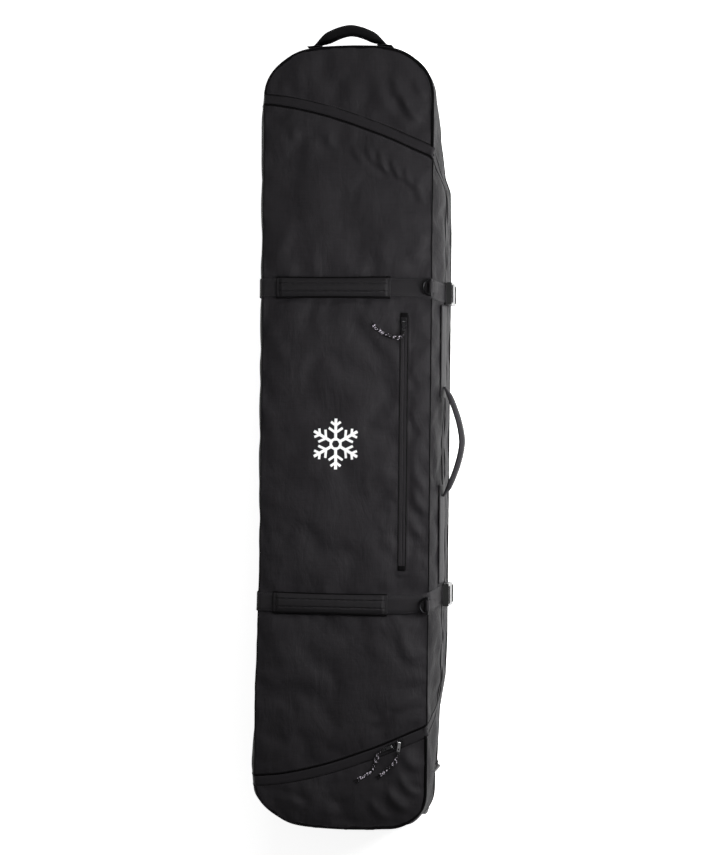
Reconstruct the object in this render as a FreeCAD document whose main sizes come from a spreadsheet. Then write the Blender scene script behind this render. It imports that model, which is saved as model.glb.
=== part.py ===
"""Wheeled, padded snowboard bag, lying on its back.

Frame: X across the bag, Y along it with the grab handle at +Y and the wheels at -Y, Z up through the lid.
The origin is on the floor under the middle of the bag, on the face of the centre rail. Millimetres.
"""
import FreeCAD, Part
import math
import os
import re
import Sketcher
from FreeCAD import Placement, Rotation, Vector

SIZES = {
    # shell
    "half_width": 194,
    "half_length": 800,
    "corner_radius": 85,
    "bag_top": 195,
    "wall": 8,
    "panel": 8,
    "fabric": 2,
    "stiffener": 2.5,
    "back_foam": 9.5,
    "lid_foam": 6,
    "lid_foam_low": -560,
    "lid_foam_high": 520,
    "liner": 3,
    "liner_left": -60,
    "liner_right": 170,
    # skid rails and rivets on the back
    "rail_height": 6,
    "rail_width": 24,
    "rail_low_end": -640,
    "rail_high_end": 740,
    "rail_spacing": 118,
    "rivet_radius": 3,
    "rivet_head": 6,
    "rivet_recess": 1.5,
    "rivet_first": -600,
    "rivet_pitch": 260,
    # zipper round the lid: two arcs across the front, a level run along the right wall
    "zip_level": 100,
    "zip_half_band": 10,
    "zip_half_gap": 0.3,
    "zip_thick": 2,
    "coil_width": 2.5,
    "coil_height": 1.2,
    "top_arc_x": -305,
    "top_arc_y": -238,
    "top_arc_radius": 931,
    "low_arc_x": -217,
    "low_arc_y": 77,
    "low_arc_radius": 780,
    "top_slant_foot": 495,
    "low_slant_foot": -545,
    # webbing
    "webbing_width": 38,
    "webbing": 2,
    "top_strap_y": 303,
    "low_strap_y": -345,
    "haul_left": -133,
    "haul_right": 97,
    "haul_width": 41,
    "haul_thick": 9,
    # D-rings
    "ring_x": 176,
    "ring_radius": 16,
    "ring_wire": 2.5,
    "ring_loop_outer": 4.6,
    "ring_loop_bore": 2.9,
    "ring_loop_length": 22,
    # side-release buckles
    "top_buckle_y": 295,
    "low_buckle_y": -328,
    "buckle_width": 46,
    "buckle_thick": 12.5,
    "buckle_gap": 0.5,
    "socket_low": 58,
    "socket_mouth": 97,
    "socket_skin": 2.5,
    "plug_high": 124,
    "prong_low": 72,
    "prong_width": 9,
    "prong_thick": 5,
    # carry handle on the right side
    "side_handle_low": -122,
    "side_handle_high": 100,
    "side_handle_reach": 238,
    "side_handle_thick": 6,
    "side_handle_level": 132,
    "handle_stand_off": 9,
    "handle_end_half": 7,
    # grab handle at the top end
    "grab_half_span": 78,
    "grab_reach": 851,
    "grab_thick": 16,
    "grab_height": 34,
    "grab_level": 150,
    # wheels
    "wheel_x": 148,
    "wheel_y": -750,
    "wheel_z": 46,
    "wheel_radius": 45,
    "tyre_width": 24,
    "hub_radius": 33,
    "hub_width": 20,
    "bearing_radius": 11,
    "bearing_width": 7,
    "bearing_set": 10,
    "axle_radius": 4,
    "axle_clearance": 0.05,
    "housing_start": -696,
    "housing_top": 96,
    "housing_skin": 4,
    "cheek_outer": 133,
    "housing_half_width": 180,
    "housing_corner": 100,
    # front pocket
    "pocket_zip_x": 121,
    "pocket_zip_half": 9,
    "pocket_zip_high": 246,
    "pocket_zip_low": -274,
    "pocket_tape": 1.5,
    "pocket_stop": 14,
    "pocket_slider_y": 232,
    # sliders and pull tabs
    "slider_length": 15,
    "slider_width": 11,
    "slider_plate": 2.4,
    "slider_gap": 0.3,
    "pin_level": 5,
    "pin_radius": 1.1,
    "eye_radius": 2.3,
    "eye_bore": 1.45,
    "tab_length": 18,
    "tab_width": 6,
    "tab_thick": 2,
    "cord_radius": 2.75,
    # board straps inside
    "board_strap_y": 260,
    "board_strap_half": 150,
    "board_strap_width": 25,
    "cam_near": 30,
    "cam_far": 66,
    "cam_half": 17,
}

FUNCTIONS = {"sqrt", "abs"}

doc = FreeCAD.newDocument("snowboard_bag")
sheet = doc.addObject("Spreadsheet::Sheet", "Sizes")
for row, (size_name, size) in enumerate(SIZES.items(), start=1):
    sheet.set(f"A{row}", size_name)
    sheet.set(f"B{row}", str(size))
    sheet.setAlias(f"B{row}", size_name)
doc.recompute()
nodes = {}


# ---------------------------------------------------------------- building blocks
def value(text):
    """The number an expression in the sheet's names gives."""
    return float(sheet.evalExpression(text))


def bound(text):
    """The expression as an object outside the sheet writes it."""
    return re.sub(r"[a-z][a-z_0-9]*", lambda word: word.group() if word.group() in FUNCTIONS
                  else "Sizes." + word.group(), text)


def bind(thing, **expressions):
    for prop, text in expressions.items():
        thing.setExpression(prop.replace("__", "."), bound(text))


def node(thing, label):
    """Names a finished sub-part."""
    thing.Label = label
    nodes[label] = thing
    return thing


def box(name, x, y, z):
    """A block between low and high expressions on each axis."""
    block = doc.addObject("Part::Box", name)
    for prop, axis, (low, high) in zip(("Length", "Width", "Height"), "xyz", (x, y, z)):
        block.setExpression(prop, bound(f"({high}) - ({low})"))
        block.setExpression(f"Placement.Base.{axis}", bound(low))
    return block


def drum(name, radius, axis, start, length):
    """A cylinder from start, three expressions, along +X, +Y or +Z."""
    turn = {"x": Rotation(Vector(0, 1, 0), 90), "y": Rotation(Vector(1, 0, 0), -90), "z": Rotation()}[axis]
    cylinder = doc.addObject("Part::Cylinder", name)
    cylinder.Placement = Placement(Vector(), turn)
    bind(cylinder, Radius=radius, Height=length)
    for letter, text in zip("xyz", start):
        cylinder.setExpression(f"Placement.Base.{letter}", bound(text))
    return cylinder


def fuse(name, *pieces):
    joined = doc.addObject("Part::MultiFuse", name)
    joined.Shapes = list(pieces)
    return joined


def cut(name, base, *tools):
    result = doc.addObject("Part::Cut", name)
    result.Base = base
    result.Tool = tools[0] if len(tools) == 1 else fuse(name + "_tools", *tools)
    return result


def group(name, *pieces):
    """Separate solids that share a node."""
    set_of = doc.addObject("Part::Compound", name)
    set_of.Links = list(pieces)
    return set_of


def arc_between(start, end, radius):
    """The short arc from start to end; a positive radius turns left, a negative one right."""
    chord = end - start
    side = Vector(-chord.y, chord.x, 0).normalize() * math.copysign(1, radius)
    centre = (start + end) / 2 + side * math.sqrt(radius**2 - (chord.Length / 2)**2)
    middle = centre - side * abs(radius)
    return Part.Arc(start, middle, end)


def sketch(body, name, role, corners, offset="0"):
    """A closed outline on an origin plane. A corner is (u, v), or (u, v, radius) where an arc starts."""
    plane = [feature for feature in body.Origin.OriginFeatures if feature.Role == role][0]
    drawing = body.newObject("Sketcher::SketchObject", name)
    drawing.AttachmentSupport = (plane, [""])
    drawing.MapMode = "FlatFace"
    drawing.setExpression("AttachmentOffset.Base.z", bound(offset))
    places = [Vector(value(corner[0]), value(corner[1]), 0) for corner in corners]
    count = len(corners)
    for index, corner in enumerate(corners):
        start, end = places[index], places[(index + 1) % count]
        if len(corner) == 3:
            drawing.addGeometry(arc_between(start, end, value(corner[2])), False)
        else:
            drawing.addGeometry(Part.LineSegment(start, end), False)
    # an arc that turns right is stored from its far end
    first = [2 if len(corner) == 3 and value(corner[2]) < 0 else 1 for corner in corners]
    last = [3 - point for point in first]
    for index in range(count):
        after = (index + 1) % count
        drawing.addConstraint(Sketcher.Constraint("Coincident", index, last[index], after, first[after]))
    for index, corner in enumerate(corners):
        for kind, text in (("DistanceX", corner[0]), ("DistanceY", corner[1])):
            place = drawing.addConstraint(Sketcher.Constraint(kind, -1, 1, index, first[index], value(text)))
            drawing.setExpression(f"Constraints[{place}]", bound(text))
        if len(corner) == 3:
            size = abs(value(corner[2]))
            curve = drawing.addConstraint(Sketcher.Constraint("Radius", index, size))
            drawing.setExpression(f"Constraints[{curve}]", bound(f"abs({corner[2]})"))
    return drawing


def plate(name, role, corners, low, high):
    """A PartDesign body: the outline padded from low to high along its plane's axis."""
    body = doc.addObject("PartDesign::Body", name)
    backward = role == "XZ_Plane"
    offset = f"-({high})" if backward else low
    drawing = sketch(body, name + "_outline", role, corners, offset)
    pad = body.newObject("PartDesign::Pad", name + "_pad")
    pad.Profile = drawing
    pad.setExpression("Length", bound(f"({high}) - ({low})"))
    drawing.Visibility = False
    return body


def turned(name, profile, centre):
    """A PartDesign body turned round a line along X through centre; profile is (along X, radius)."""
    body = doc.addObject("PartDesign::Body", name)
    drawing = sketch(body, name + "_profile", "XY_Plane", profile)
    revolution = body.newObject("PartDesign::Revolution", name + "_turn")
    revolution.Profile = drawing
    revolution.ReferenceAxis = (drawing, ["H_Axis"])
    revolution.Angle = 360
    for letter, text in zip("xyz", centre):
        body.setExpression(f"Placement.Base.{letter}", bound(text))
    return body


# ---------------------------------------------------------------- lines that several panels share
def top_arc(x, offset):
    """Height of the top zipper's arc at x, offset outward from its centre line."""
    return f"top_arc_y + sqrt((top_arc_radius + {offset})^2 - ({x} - top_arc_x)^2)"


def low_arc(x, offset):
    return f"low_arc_y - sqrt((low_arc_radius + {offset})^2 - ({x} - low_arc_x)^2)"


LEFT = "(-half_width)"
RIGHT = "half_width"
INNER = "half_width - wall"
ENDS = "half_length - corner_radius"
SIDE = "half_width - corner_radius"
UNDER_PANEL = "bag_top - panel"
FLOOR_TOP = "rail_height + fabric + stiffener + back_foam"
TOP_START = top_arc(LEFT, "zip_half_band")
LOW_START = low_arc(LEFT, "zip_half_band")


# ---------------------------------------------------------------- back of the bag
def back():
    """Fabric, plastic sheet and foam of the back, which lies on three riveted rails."""
    low = "housing_start"
    outline = [(f"{LEFT}", low), (RIGHT, low), (RIGHT, ENDS, "corner_radius"), (SIDE, "half_length"),
               (f"-({SIDE})", "half_length", "corner_radius"), (LEFT, ENDS)]
    sheet_low = "rail_height + fabric"
    sheet_high = f"{sheet_low} + stiffener"
    skin = plate("back_skin", "XY_Plane", outline, "rail_height", sheet_low)
    inside = "corner_radius - wall"
    end = "half_length - wall"
    outline = [(f"-({INNER})", low), (INNER, low), (INNER, ENDS, inside), (SIDE, end),
               (f"-({SIDE})", end, inside), (f"-({INNER})", ENDS)]
    stiffener = plate("stiffener_sheet", "XY_Plane", outline, sheet_low, sheet_high)
    node(plate("foam_sheet", "XY_Plane", outline, sheet_high, FLOOR_TOP), "back_foam")
    rails, rivets, holes, recesses = [], [], [], []
    for index in (-1, 0, 1):
        middle = f"{index} * rail_spacing"
        rails.append(box(f"rail_{index + 1}", (f"{middle} - rail_width / 2", f"{middle} + rail_width / 2"),
                         ("rail_low_end", "rail_high_end"), ("0", "rail_height")))
        for step in range(6):
            tag = f"{index + 1}_{step}"
            along = f"rivet_first + {step} * rivet_pitch"
            shank = drum(f"shank_{tag}", "rivet_radius", "z", (middle, along, "rivet_recess"),
                         f"{sheet_high} - rivet_recess")
            head = drum(f"head_{tag}", "rivet_head", "z", (middle, along, "rivet_recess"), "fabric")
            rivets.append(fuse(f"rivet_{tag}", shank, head))
            holes.append(drum(f"hole_{tag}", "rivet_radius", "z", (middle, along, "0"), sheet_high))
            recesses.append(drum(f"recess_{tag}", "rivet_head", "z", (middle, along, "-1"),
                                 "1 + rivet_recess + fabric"))
    hole_set = group("rivet_holes", *holes)
    node(cut("skin_cut", skin, hole_set), "back_panel")
    node(cut("stiffener_cut", stiffener, hole_set), "back_stiffener")
    node(cut("rails_cut", group("rails", *rails), hole_set, group("rivet_recesses", *recesses)), "skid_rails")
    node(group("rivet_set", *rivets), "rail_rivets")


def end_wall(name, sign, low, start):
    """A U of padded wall round one end of the bag: both corners and the end between them."""
    corner = "corner_radius" if sign == "" else "-corner_radius"
    inner_corner = "-(corner_radius - wall)" if sign == "" else "corner_radius - wall"
    end, inner_end, turn = (f"{sign}({text})" for text in ("half_length", "half_length - wall", ENDS))
    outline = [(RIGHT, start), (RIGHT, turn, corner), (SIDE, end), (f"-({SIDE})", end, corner),
               (LEFT, turn), (LEFT, start), (f"-({INNER})", start), (f"-({INNER})", turn, inner_corner),
               (f"-({SIDE})", inner_end), (SIDE, inner_end, inner_corner), (INNER, turn), (INNER, start)]
    node(plate(name + "_body", "XY_Plane", outline, low, UNDER_PANEL), name)


def slant(foot, arc, outward):
    """The zipper's run down the right wall: its line at the panel's edge and at the level run.

    outward is the distance from the zipper's centre line, positive towards the bag's end.
    """
    top = arc(RIGHT, "0")
    run = f"(({top}) - {foot})"
    rise = "(bag_top - zip_thick * 2 - zip_level)"
    steep = f"sqrt({run}^2 + {rise}^2) / {rise}"
    end = "" if arc is top_arc else "-"
    shift = f"{end}({outward})"
    toward = f"{run} / {rise}"
    at_edge = f"{top} + {shift} * {steep} + {toward} * (zip_thick * 2 - panel)"
    at_level = f"{foot} - ({outward}) * {toward} + {shift} * {steep}"
    return at_edge, at_level, f"zip_level - ({outward})"


def side_walls():
    """Right wall with its raised ends beyond the slanted zipper, and the plain left wall."""
    skirt = "rail_height + fabric"
    top_edge, top_foot, level = slant("top_slant_foot", top_arc, "zip_half_band")
    low_edge, low_foot, _ = slant("low_slant_foot", low_arc, "zip_half_band")
    outline = [("housing_start", skirt), (TOP_START, skirt), (TOP_START, UNDER_PANEL), (top_edge, UNDER_PANEL),
               (top_foot, level), (low_foot, level), (low_edge, UNDER_PANEL), (LOW_START, UNDER_PANEL),
               (LOW_START, "housing_top"), ("housing_start", "housing_top")]
    node(plate("right_slab", "YZ_Plane", outline, INNER, RIGHT), "right_wall")
    fold = "zip_level - fabric"
    node(box("left_slab", (LEFT, f"-({INNER})"), ("housing_start", TOP_START), (skirt, fold)), "left_wall")


def end_panels():
    """Front panels sewn to the end walls, beyond the two zipper arcs."""
    outer = "zip_half_band"
    outline = [(RIGHT, top_arc(RIGHT, outer)), (RIGHT, ENDS, "corner_radius"), (SIDE, "half_length"),
               (f"-({SIDE})", "half_length", "corner_radius"), (LEFT, ENDS),
               (LEFT, top_arc(LEFT, outer), f"-(top_arc_radius + {outer})")]
    node(plate("top_panel", "XY_Plane", outline, UNDER_PANEL, "bag_top"), "top_end_panel")
    outline = [(LEFT, low_arc(LEFT, outer)), (LEFT, f"-({ENDS})", "corner_radius"),
               (f"-({SIDE})", "-half_length"), (SIDE, "-half_length", "corner_radius"),
               (RIGHT, f"-({ENDS})"), (RIGHT, low_arc(RIGHT, outer), f"-(low_arc_radius + {outer})")]
    node(plate("low_panel", "XY_Plane", outline, UNDER_PANEL, "bag_top"), "wheel_end_panel")


# ---------------------------------------------------------------- lid
def lid():
    """Tray of front panel and upper walls, folded along the left wall at the zipper's level."""
    inner = "(-zip_half_band)"
    outline = [(LEFT, low_arc(LEFT, inner), f"low_arc_radius + {inner}"), (RIGHT, low_arc(RIGHT, inner)),
               (RIGHT, top_arc(RIGHT, inner), f"top_arc_radius + {inner}"), (LEFT, top_arc(LEFT, inner))]
    panel = plate("lid_slab", "XY_Plane", outline, UNDER_PANEL, "bag_top")
    doc.recompute()
    channel_sketch = sketch(panel, "zip_channel_outline", "XY_Plane", rectangle(
        "pocket_zip_x - pocket_zip_half", "pocket_zip_x + pocket_zip_half", "pocket_zip_low", "pocket_zip_high"),
        "bag_top - zip_thick")
    channel = panel.newObject("PartDesign::Pocket", "zip_channel")
    channel.Profile = channel_sketch
    channel.Reversed = True
    bind(channel, Length="zip_thick")
    node(panel, "lid_panel")
    top_edge, top_foot, level = slant("top_slant_foot", top_arc, inner)
    low_edge, low_foot, _ = slant("low_slant_foot", low_arc, inner)
    outline = [(low_edge, UNDER_PANEL), (low_foot, level), (top_foot, level), (top_edge, UNDER_PANEL)]
    node(plate("lid_right_slab", "YZ_Plane", outline, INNER, RIGHT), "lid_right_wall")
    node(box("lid_left_slab", (LEFT, f"-({INNER})"), (low_arc(LEFT, inner), top_arc(LEFT, inner)),
             ("zip_level + fabric", UNDER_PANEL)), "lid_left_wall")
    foam_low = "bag_top - panel - lid_foam"
    node(box("lid_foam_slab", (f"fabric - ({INNER})", f"{INNER} - fabric"),
             ("lid_foam_low", "lid_foam_high"), (foam_low, UNDER_PANEL)), "lid_foam")
    node(box("liner_slab", ("liner_left", "liner_right"), ("pocket_zip_low - 20", "pocket_zip_high + 20"),
             (f"{foam_low} - liner", foam_low)), "pocket_liner")


def rectangle(left, right, low, high):
    return [(left, low), (right, low), (right, high), (left, high)]


# ---------------------------------------------------------------- zipper
def arc_bands(name, inner, outer, low, high):
    """Two curved strips across the front, one at each end of the lid."""
    bands = []
    for end, arc, radius, turn in (("top", top_arc, "top_arc_radius", "-"), ("low", low_arc, "low_arc_radius", "")):
        back_turn = "" if turn else "-"
        outline = [(LEFT, arc(LEFT, outer), f"{turn}({radius} + {outer})"), (RIGHT, arc(RIGHT, outer)),
                   (RIGHT, arc(RIGHT, inner), f"{back_turn}({radius} + {inner})"), (LEFT, arc(LEFT, inner))]
        bands.append(plate(f"{name}_{end}_band", "XY_Plane", outline, low, high))
    return bands


def zipper_half(name, inner, outer):
    """One tape of the lid zipper: across both ends, down the left wall and round the right wall.

    inner and outer are the tape's edges, measured from the centre line towards the bag's ends.
    """
    bands = arc_bands(name, inner, outer, "bag_top - 2 * zip_thick", "bag_top - zip_thick")
    edges = [slant("top_slant_foot", top_arc, inner), slant("low_slant_foot", low_arc, inner),
             slant("low_slant_foot", low_arc, outer), slant("top_slant_foot", top_arc, outer)]
    outline = [(edges[0][0], UNDER_PANEL), (edges[0][1], edges[0][2]), (edges[1][1], edges[1][2]),
               (edges[1][0], UNDER_PANEL), (edges[2][0], UNDER_PANEL), (edges[2][1], edges[2][2]),
               (edges[3][1], edges[3][2]), (edges[3][0], UNDER_PANEL)]
    wall_middle = "half_width - wall / 2"
    bands.append(plate(f"{name}_wall_band", "YZ_Plane", outline, wall_middle, f"{wall_middle} + zip_thick"))
    for end, arc in (("top", top_arc), ("low", low_arc)):
        span = (arc(LEFT, inner), arc(LEFT, outer))
        bands.append(box(f"{name}_{end}_drop", (f"-({wall_middle}) - zip_thick", f"-({wall_middle})"),
                         span if end == "top" else span[::-1], ("zip_level + fabric", UNDER_PANEL)))
    node(group(name + "_set", *bands), name)


def zippers():
    zipper_half("fixed_zip_tape", "zip_half_gap", "zip_half_band")
    zipper_half("lid_zip_tape", "(-zip_half_band)", "(-zip_half_gap)")
    for name, inner, outer in (("fixed_coil", "zip_half_gap", "(zip_half_gap + coil_width)"),
                               ("lid_coil", "(-(zip_half_gap + coil_width))", "(-zip_half_gap)")):
        under_tape = "bag_top - 2 * zip_thick"
        rows = arc_bands(name, inner, outer, f"{under_tape} - coil_height", under_tape)
        node(group(name + "_set", *rows), name)


def pocket_zipper():
    """Tape sunk in the lid's channel, with a stop at each end."""
    base = "bag_top - zip_thick + pocket_tape"
    node(box("pocket_tape_strip", ("pocket_zip_x - pocket_zip_half", "pocket_zip_x + pocket_zip_half"),
             ("pocket_zip_low", "pocket_zip_high"), ("bag_top - zip_thick", base)), "pocket_zip_tape")
    stops = []
    for name, start in (("low", "pocket_zip_low"), ("high", "pocket_zip_high - 4")):
        end = "pocket_zip_low + pocket_stop" if name == "low" else "pocket_zip_high"
        stops.append(box(f"pocket_{name}_stop", ("pocket_zip_x - pocket_zip_half", "pocket_zip_x + pocket_zip_half"),
                         (start, end), (base, f"{base} + 2.3")))
    node(group("pocket_stops", *stops), "pocket_zip_stops")


def slider(name, place, angle, bail_angle):
    """A zipper slider on the tapes and the metal tab on its pin.

    angle is the zipper's direction and bail_angle the tab's, in degrees from +X.
    """
    plate_block = box(name + "_plate", ("-slider_length / 2", "slider_length / 2"),
                      ("-slider_width / 2", "slider_width / 2"), ("0", "slider_plate"))
    rounded = doc.addObject("Part::Fillet", name + "_rounded")
    rounded.Base = plate_block
    doc.recompute()
    corners = [index for index, edge in enumerate(plate_block.Shape.Edges, start=1)
               if abs(edge.tangentAt(edge.FirstParameter).z) > 0.9]
    rounded.Edges = [(index, 3.5, 3.5) for index in corners]
    posts = []
    for side, start, end in (("left", "-tab_width / 2 - 2.2", "-tab_width / 2 - 0.5"),
                             ("right", "tab_width / 2 + 0.5", "tab_width / 2 + 2.2")):
        posts.append(box(f"{name}_{side}_post", ("-2.2", "2.2"), (start, end), ("slider_plate", "pin_level + 2")))
    pin = drum(name + "_pin", "pin_radius", "y", ("0", "-tab_width / 2 - 1", "pin_level"), "tab_width + 2")
    bail = fuse(name + "_bail", *posts, pin)
    bail.Placement = Placement(Vector(), Rotation(Vector(0, 0, 1), bail_angle - angle))
    whole = fuse(name + "_whole", rounded, bail)
    whole.Placement = Placement(place, Rotation(Vector(0, 0, 1), angle))
    node(whole, name)

    eye = drum(name + "_eye", "eye_radius", "y", ("0", "-tab_width / 2", "pin_level"), "tab_width")
    blade = box(name + "_blade", ("eye_bore", "tab_length"), ("-tab_width / 2", "tab_width / 2"),
                ("pin_level - tab_thick / 2", "pin_level + tab_thick / 2"))
    bore = drum(name + "_bore", "eye_bore", "y", ("0", "-tab_width", "pin_level"), "2 * tab_width")
    window = box(name + "_window", ("tab_length - 7", "tab_length - 3"), ("-1.4", "1.4"), ("0", "2 * pin_level"))
    tab = cut(name + "_tab_cut", fuse(name + "_tab_blank", eye, blade), bore, window)
    tab.Placement = Placement(place, Rotation(Vector(0, 0, 1), bail_angle))
    node(tab, name.replace("slider", "pull_tab"))


# ---------------------------------------------------------------- straps, rings and buckles
def straps():
    """Compression straps over the lid, with padded haul sleeves and loops for the D-rings."""
    outer = "half_width + webbing"
    outline = [(f"-({outer})", "zip_level + 12"), (LEFT, "zip_level + 12"), (LEFT, "bag_top"),
               (RIGHT, "bag_top"), (RIGHT, "zip_level + 4"), (outer, "zip_level + 4"),
               (outer, "bag_top + webbing"), (f"-({outer})", "bag_top + webbing")]
    for name, middle in (("top", "top_strap_y"), ("low", "low_strap_y")):
        half = "webbing_width / 2"
        node(plate(f"{name}_webbing", "XZ_Plane", outline, f"{middle} - {half}", f"{middle} + {half}"),
             f"{name}_strap")
        node(box(f"{name}_sleeve", ("haul_left", "haul_right"), (f"{middle} - haul_width / 2",
             f"{middle} + haul_width / 2"), ("bag_top + webbing", "bag_top + webbing + haul_thick")),
             f"{name}_haul_handle")
        d_ring(name, middle)
        buckle(name, f"{name}_buckle_y")


def d_ring(name, middle):
    """D-ring lying on the strap, its bar in a sewn webbing loop."""
    level = "bag_top + webbing + ring_loop_outer"
    bow = doc.addObject("Part::Torus", f"{name}_bow")
    bow.Angle3 = 180
    bind(bow, Radius1="ring_radius", Radius2="ring_wire")
    bow.Placement = Placement(Vector(), Rotation(Vector(0, 0, 1), 90))
    bar = drum(f"{name}_bar", "ring_wire", "y", ("0", "-ring_radius", "0"), "2 * ring_radius")
    knuckles = []
    for side in ("-", ""):
        knuckle = doc.addObject("Part::Sphere", f"{name}_knuckle_{'low' if side else 'high'}")
        bind(knuckle, Radius="ring_wire", Placement__Base__y=f"{side}ring_radius")
        knuckles.append(knuckle)
    ring = fuse(f"{name}_ring", bow, bar, *knuckles)
    bind(ring, Placement__Base__x="ring_x", Placement__Base__y=middle, Placement__Base__z=level)
    node(ring, f"{name}_d_ring")
    start = f"{middle} - ring_loop_length / 2"
    wrap = drum(f"{name}_wrap", "ring_loop_outer", "y", ("ring_x", start, level), "ring_loop_length")
    tail = box(f"{name}_tail", ("ring_x", "half_width - 2"), (start, f"{start} + ring_loop_length"),
               ("bag_top + webbing", "bag_top + 2 * webbing"))
    bore = drum(f"{name}_bore", "ring_loop_bore", "y", ("ring_x", f"{start} - 1", level), "ring_loop_length + 2")
    node(cut(f"{name}_loop", fuse(f"{name}_loop_blank", wrap, tail), bore), f"{name}_ring_loop")


def buckle(name, middle):
    """Side-release buckle on the right wall: plug on the lid's strap, socket on a strap of the wall."""
    back = "half_width + webbing + buckle_gap"
    face = f"{back} + buckle_thick"
    low, high = f"{middle} - buckle_width / 2", f"{middle} + buckle_width / 2"
    block = box(f"{name}_socket_block", (back, face), (low, high), ("socket_low", "socket_mouth"))
    cavity = box(f"{name}_socket_cavity", (f"{back} + socket_skin", f"{face} - socket_skin"),
                 (f"{low} + socket_skin", f"{high} - socket_skin"), ("prong_low - 3", "socket_mouth + 1"))
    windows = [box(f"{name}_window_{side}", (f"{back} + socket_skin", f"{face} - socket_skin"),
                   edge, ("prong_low - 3", "prong_low + 11"))
               for side, edge in (("low", (f"{low} - 1", f"{low} + socket_skin + 1")),
                                  ("high", (f"{high} - socket_skin - 1", f"{high} + 1")))]
    slot = box(f"{name}_anchor_slot", (f"{back} - 1", f"{face} + 1"), (f"{low} + 4", f"{high} - 4"),
               ("socket_low + 4", "socket_low + 8"))
    node(cut(f"{name}_socket_cut", block, cavity, *windows, slot), f"{name}_buckle_socket")

    body = box(f"{name}_plug_block", (back, face), (low, high), ("socket_mouth + 1", "plug_high"))
    middle_x = f"{back} + buckle_thick / 2"
    across = (f"{middle_x} - prong_thick / 2", f"{middle_x} + prong_thick / 2")
    inset = "(socket_skin + 1.2)"
    prongs = [box(f"{name}_prong_{side}", across, span, ("prong_low", "socket_mouth + 1"))
              for side, span in (("low", (f"{low} + {inset}", f"{low} + {inset} + prong_width")),
                                 ("middle", (f"{middle} - 4", f"{middle} + 4")),
                                 ("high", (f"{high} - {inset} - prong_width", f"{high} - {inset}")))]
    ladders = [box(f"{name}_ladder_{index}", (f"{back} - 1", f"{face} + 1"), (f"{low} + 4", f"{high} - 4"),
                   (f"plug_high - {start}", f"plug_high - {start} + 4")) for index, start in enumerate((8, 16))]
    node(cut(f"{name}_plug_cut", fuse(f"{name}_plug_blank", body, *prongs), *ladders), f"{name}_buckle_plug")
    node(box(f"{name}_anchor", (RIGHT, "half_width + webbing"), (f"{middle} - webbing_width / 2",
         f"{middle} + webbing_width / 2"), ("rail_height + 16", "socket_low + 14")), f"{name}_anchor_webbing")


# ---------------------------------------------------------------- handles
def crescent(name, role_corners, low, high, profile_role, profile, start, end):
    """A handle: a crescent of webbing, narrowed towards its two ends by a second outline."""
    blank = plate(name + "_blank", "XY_Plane", role_corners, low, high)
    narrow = plate(name + "_narrow", profile_role, profile, start, end)
    handle = doc.addObject("Part::Common", name + "_common")
    handle.Base = blank
    handle.Tool = narrow
    node(handle, name)


def bow_radius(half_span, rise):
    return f"((({half_span})^2 + ({rise})^2) / (2 * ({rise})))"


def side_handle():
    """Webbing carry handle that stands off the right wall, and the webbing it is sewn to."""
    foot = "half_width + handle_stand_off"
    middle = "(side_handle_low + side_handle_high) / 2"
    span = "(side_handle_high - side_handle_low) / 2"
    rise = f"side_handle_reach - ({foot})"
    inner_span, inner_rise = f"{span} - side_handle_thick", f"{rise} - side_handle_thick"
    outline = [(foot, "side_handle_low", bow_radius(span, rise)), (foot, "side_handle_high"),
               (foot, f"{middle} + ({inner_span})", f"-{bow_radius(inner_span, inner_rise)}"),
               (foot, f"{middle} - ({inner_span})")]
    half = "webbing_width / 2"
    level = "side_handle_level"
    profile = [(foot, f"{level} - handle_end_half"), (f"{foot} + 16", f"{level} - {half}"),
               ("side_handle_reach + 1", f"{level} - {half}"), ("side_handle_reach + 1", f"{level} + {half}"),
               (f"{foot} + 16", f"{level} + {half}"), (foot, f"{level} + handle_end_half")]
    crescent("side_handle", outline, f"{level} - {half}", f"{level} + {half}", "XZ_Plane", profile,
             "side_handle_low - 1", "side_handle_high + 1")
    strips = []
    for name, start, end in (("low", "low_buckle_y + buckle_width / 2 + 2", "side_handle_low + 4"),
                             ("high", "side_handle_high - 4", "top_buckle_y - buckle_width / 2 - 2")):
        strips.append(box(f"side_strip_{name}", (RIGHT, "half_width + webbing"), (start, end),
                          (f"{level} - {half}", f"{level} + {half}")))
    node(group("side_strips", *strips), "side_webbing")


def grab_handle():
    """Padded grab handle on the top end wall, and its two sewn tabs."""
    foot = "half_length + handle_stand_off"
    rise = f"grab_reach - ({foot})"
    inner_span, inner_rise = "grab_half_span - grab_thick", f"{rise} - grab_thick"
    outline = [("grab_half_span", foot, bow_radius("grab_half_span", rise)), ("-grab_half_span", foot),
               (f"-({inner_span})", foot, f"-{bow_radius(inner_span, inner_rise)}"), (inner_span, foot)]
    half = "grab_height / 2"
    profile = [(foot, "grab_level - handle_end_half"), (f"{foot} + 16", f"grab_level - {half}"),
               ("grab_reach + 1", f"grab_level - {half}"), ("grab_reach + 1", f"grab_level + {half}"),
               (f"{foot} + 16", f"grab_level + {half}"), (foot, "grab_level + handle_end_half")]
    crescent("grab_handle", outline, f"grab_level - {half}", f"grab_level + {half}", "YZ_Plane", profile,
             "-grab_half_span - 1", "grab_half_span + 1")
    tabs = []
    for side, low, high in (("left", "-grab_half_span - 10", "-grab_half_span + 20"),
                            ("right", "grab_half_span - 20", "grab_half_span + 10")):
        tabs.append(box(f"grab_tab_{side}", (low, high), ("half_length", "half_length + webbing"),
                        (f"grab_level - {half}", f"grab_level + {half}")))
    node(group("grab_tabs", *tabs), "grab_handle_tabs")


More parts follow.
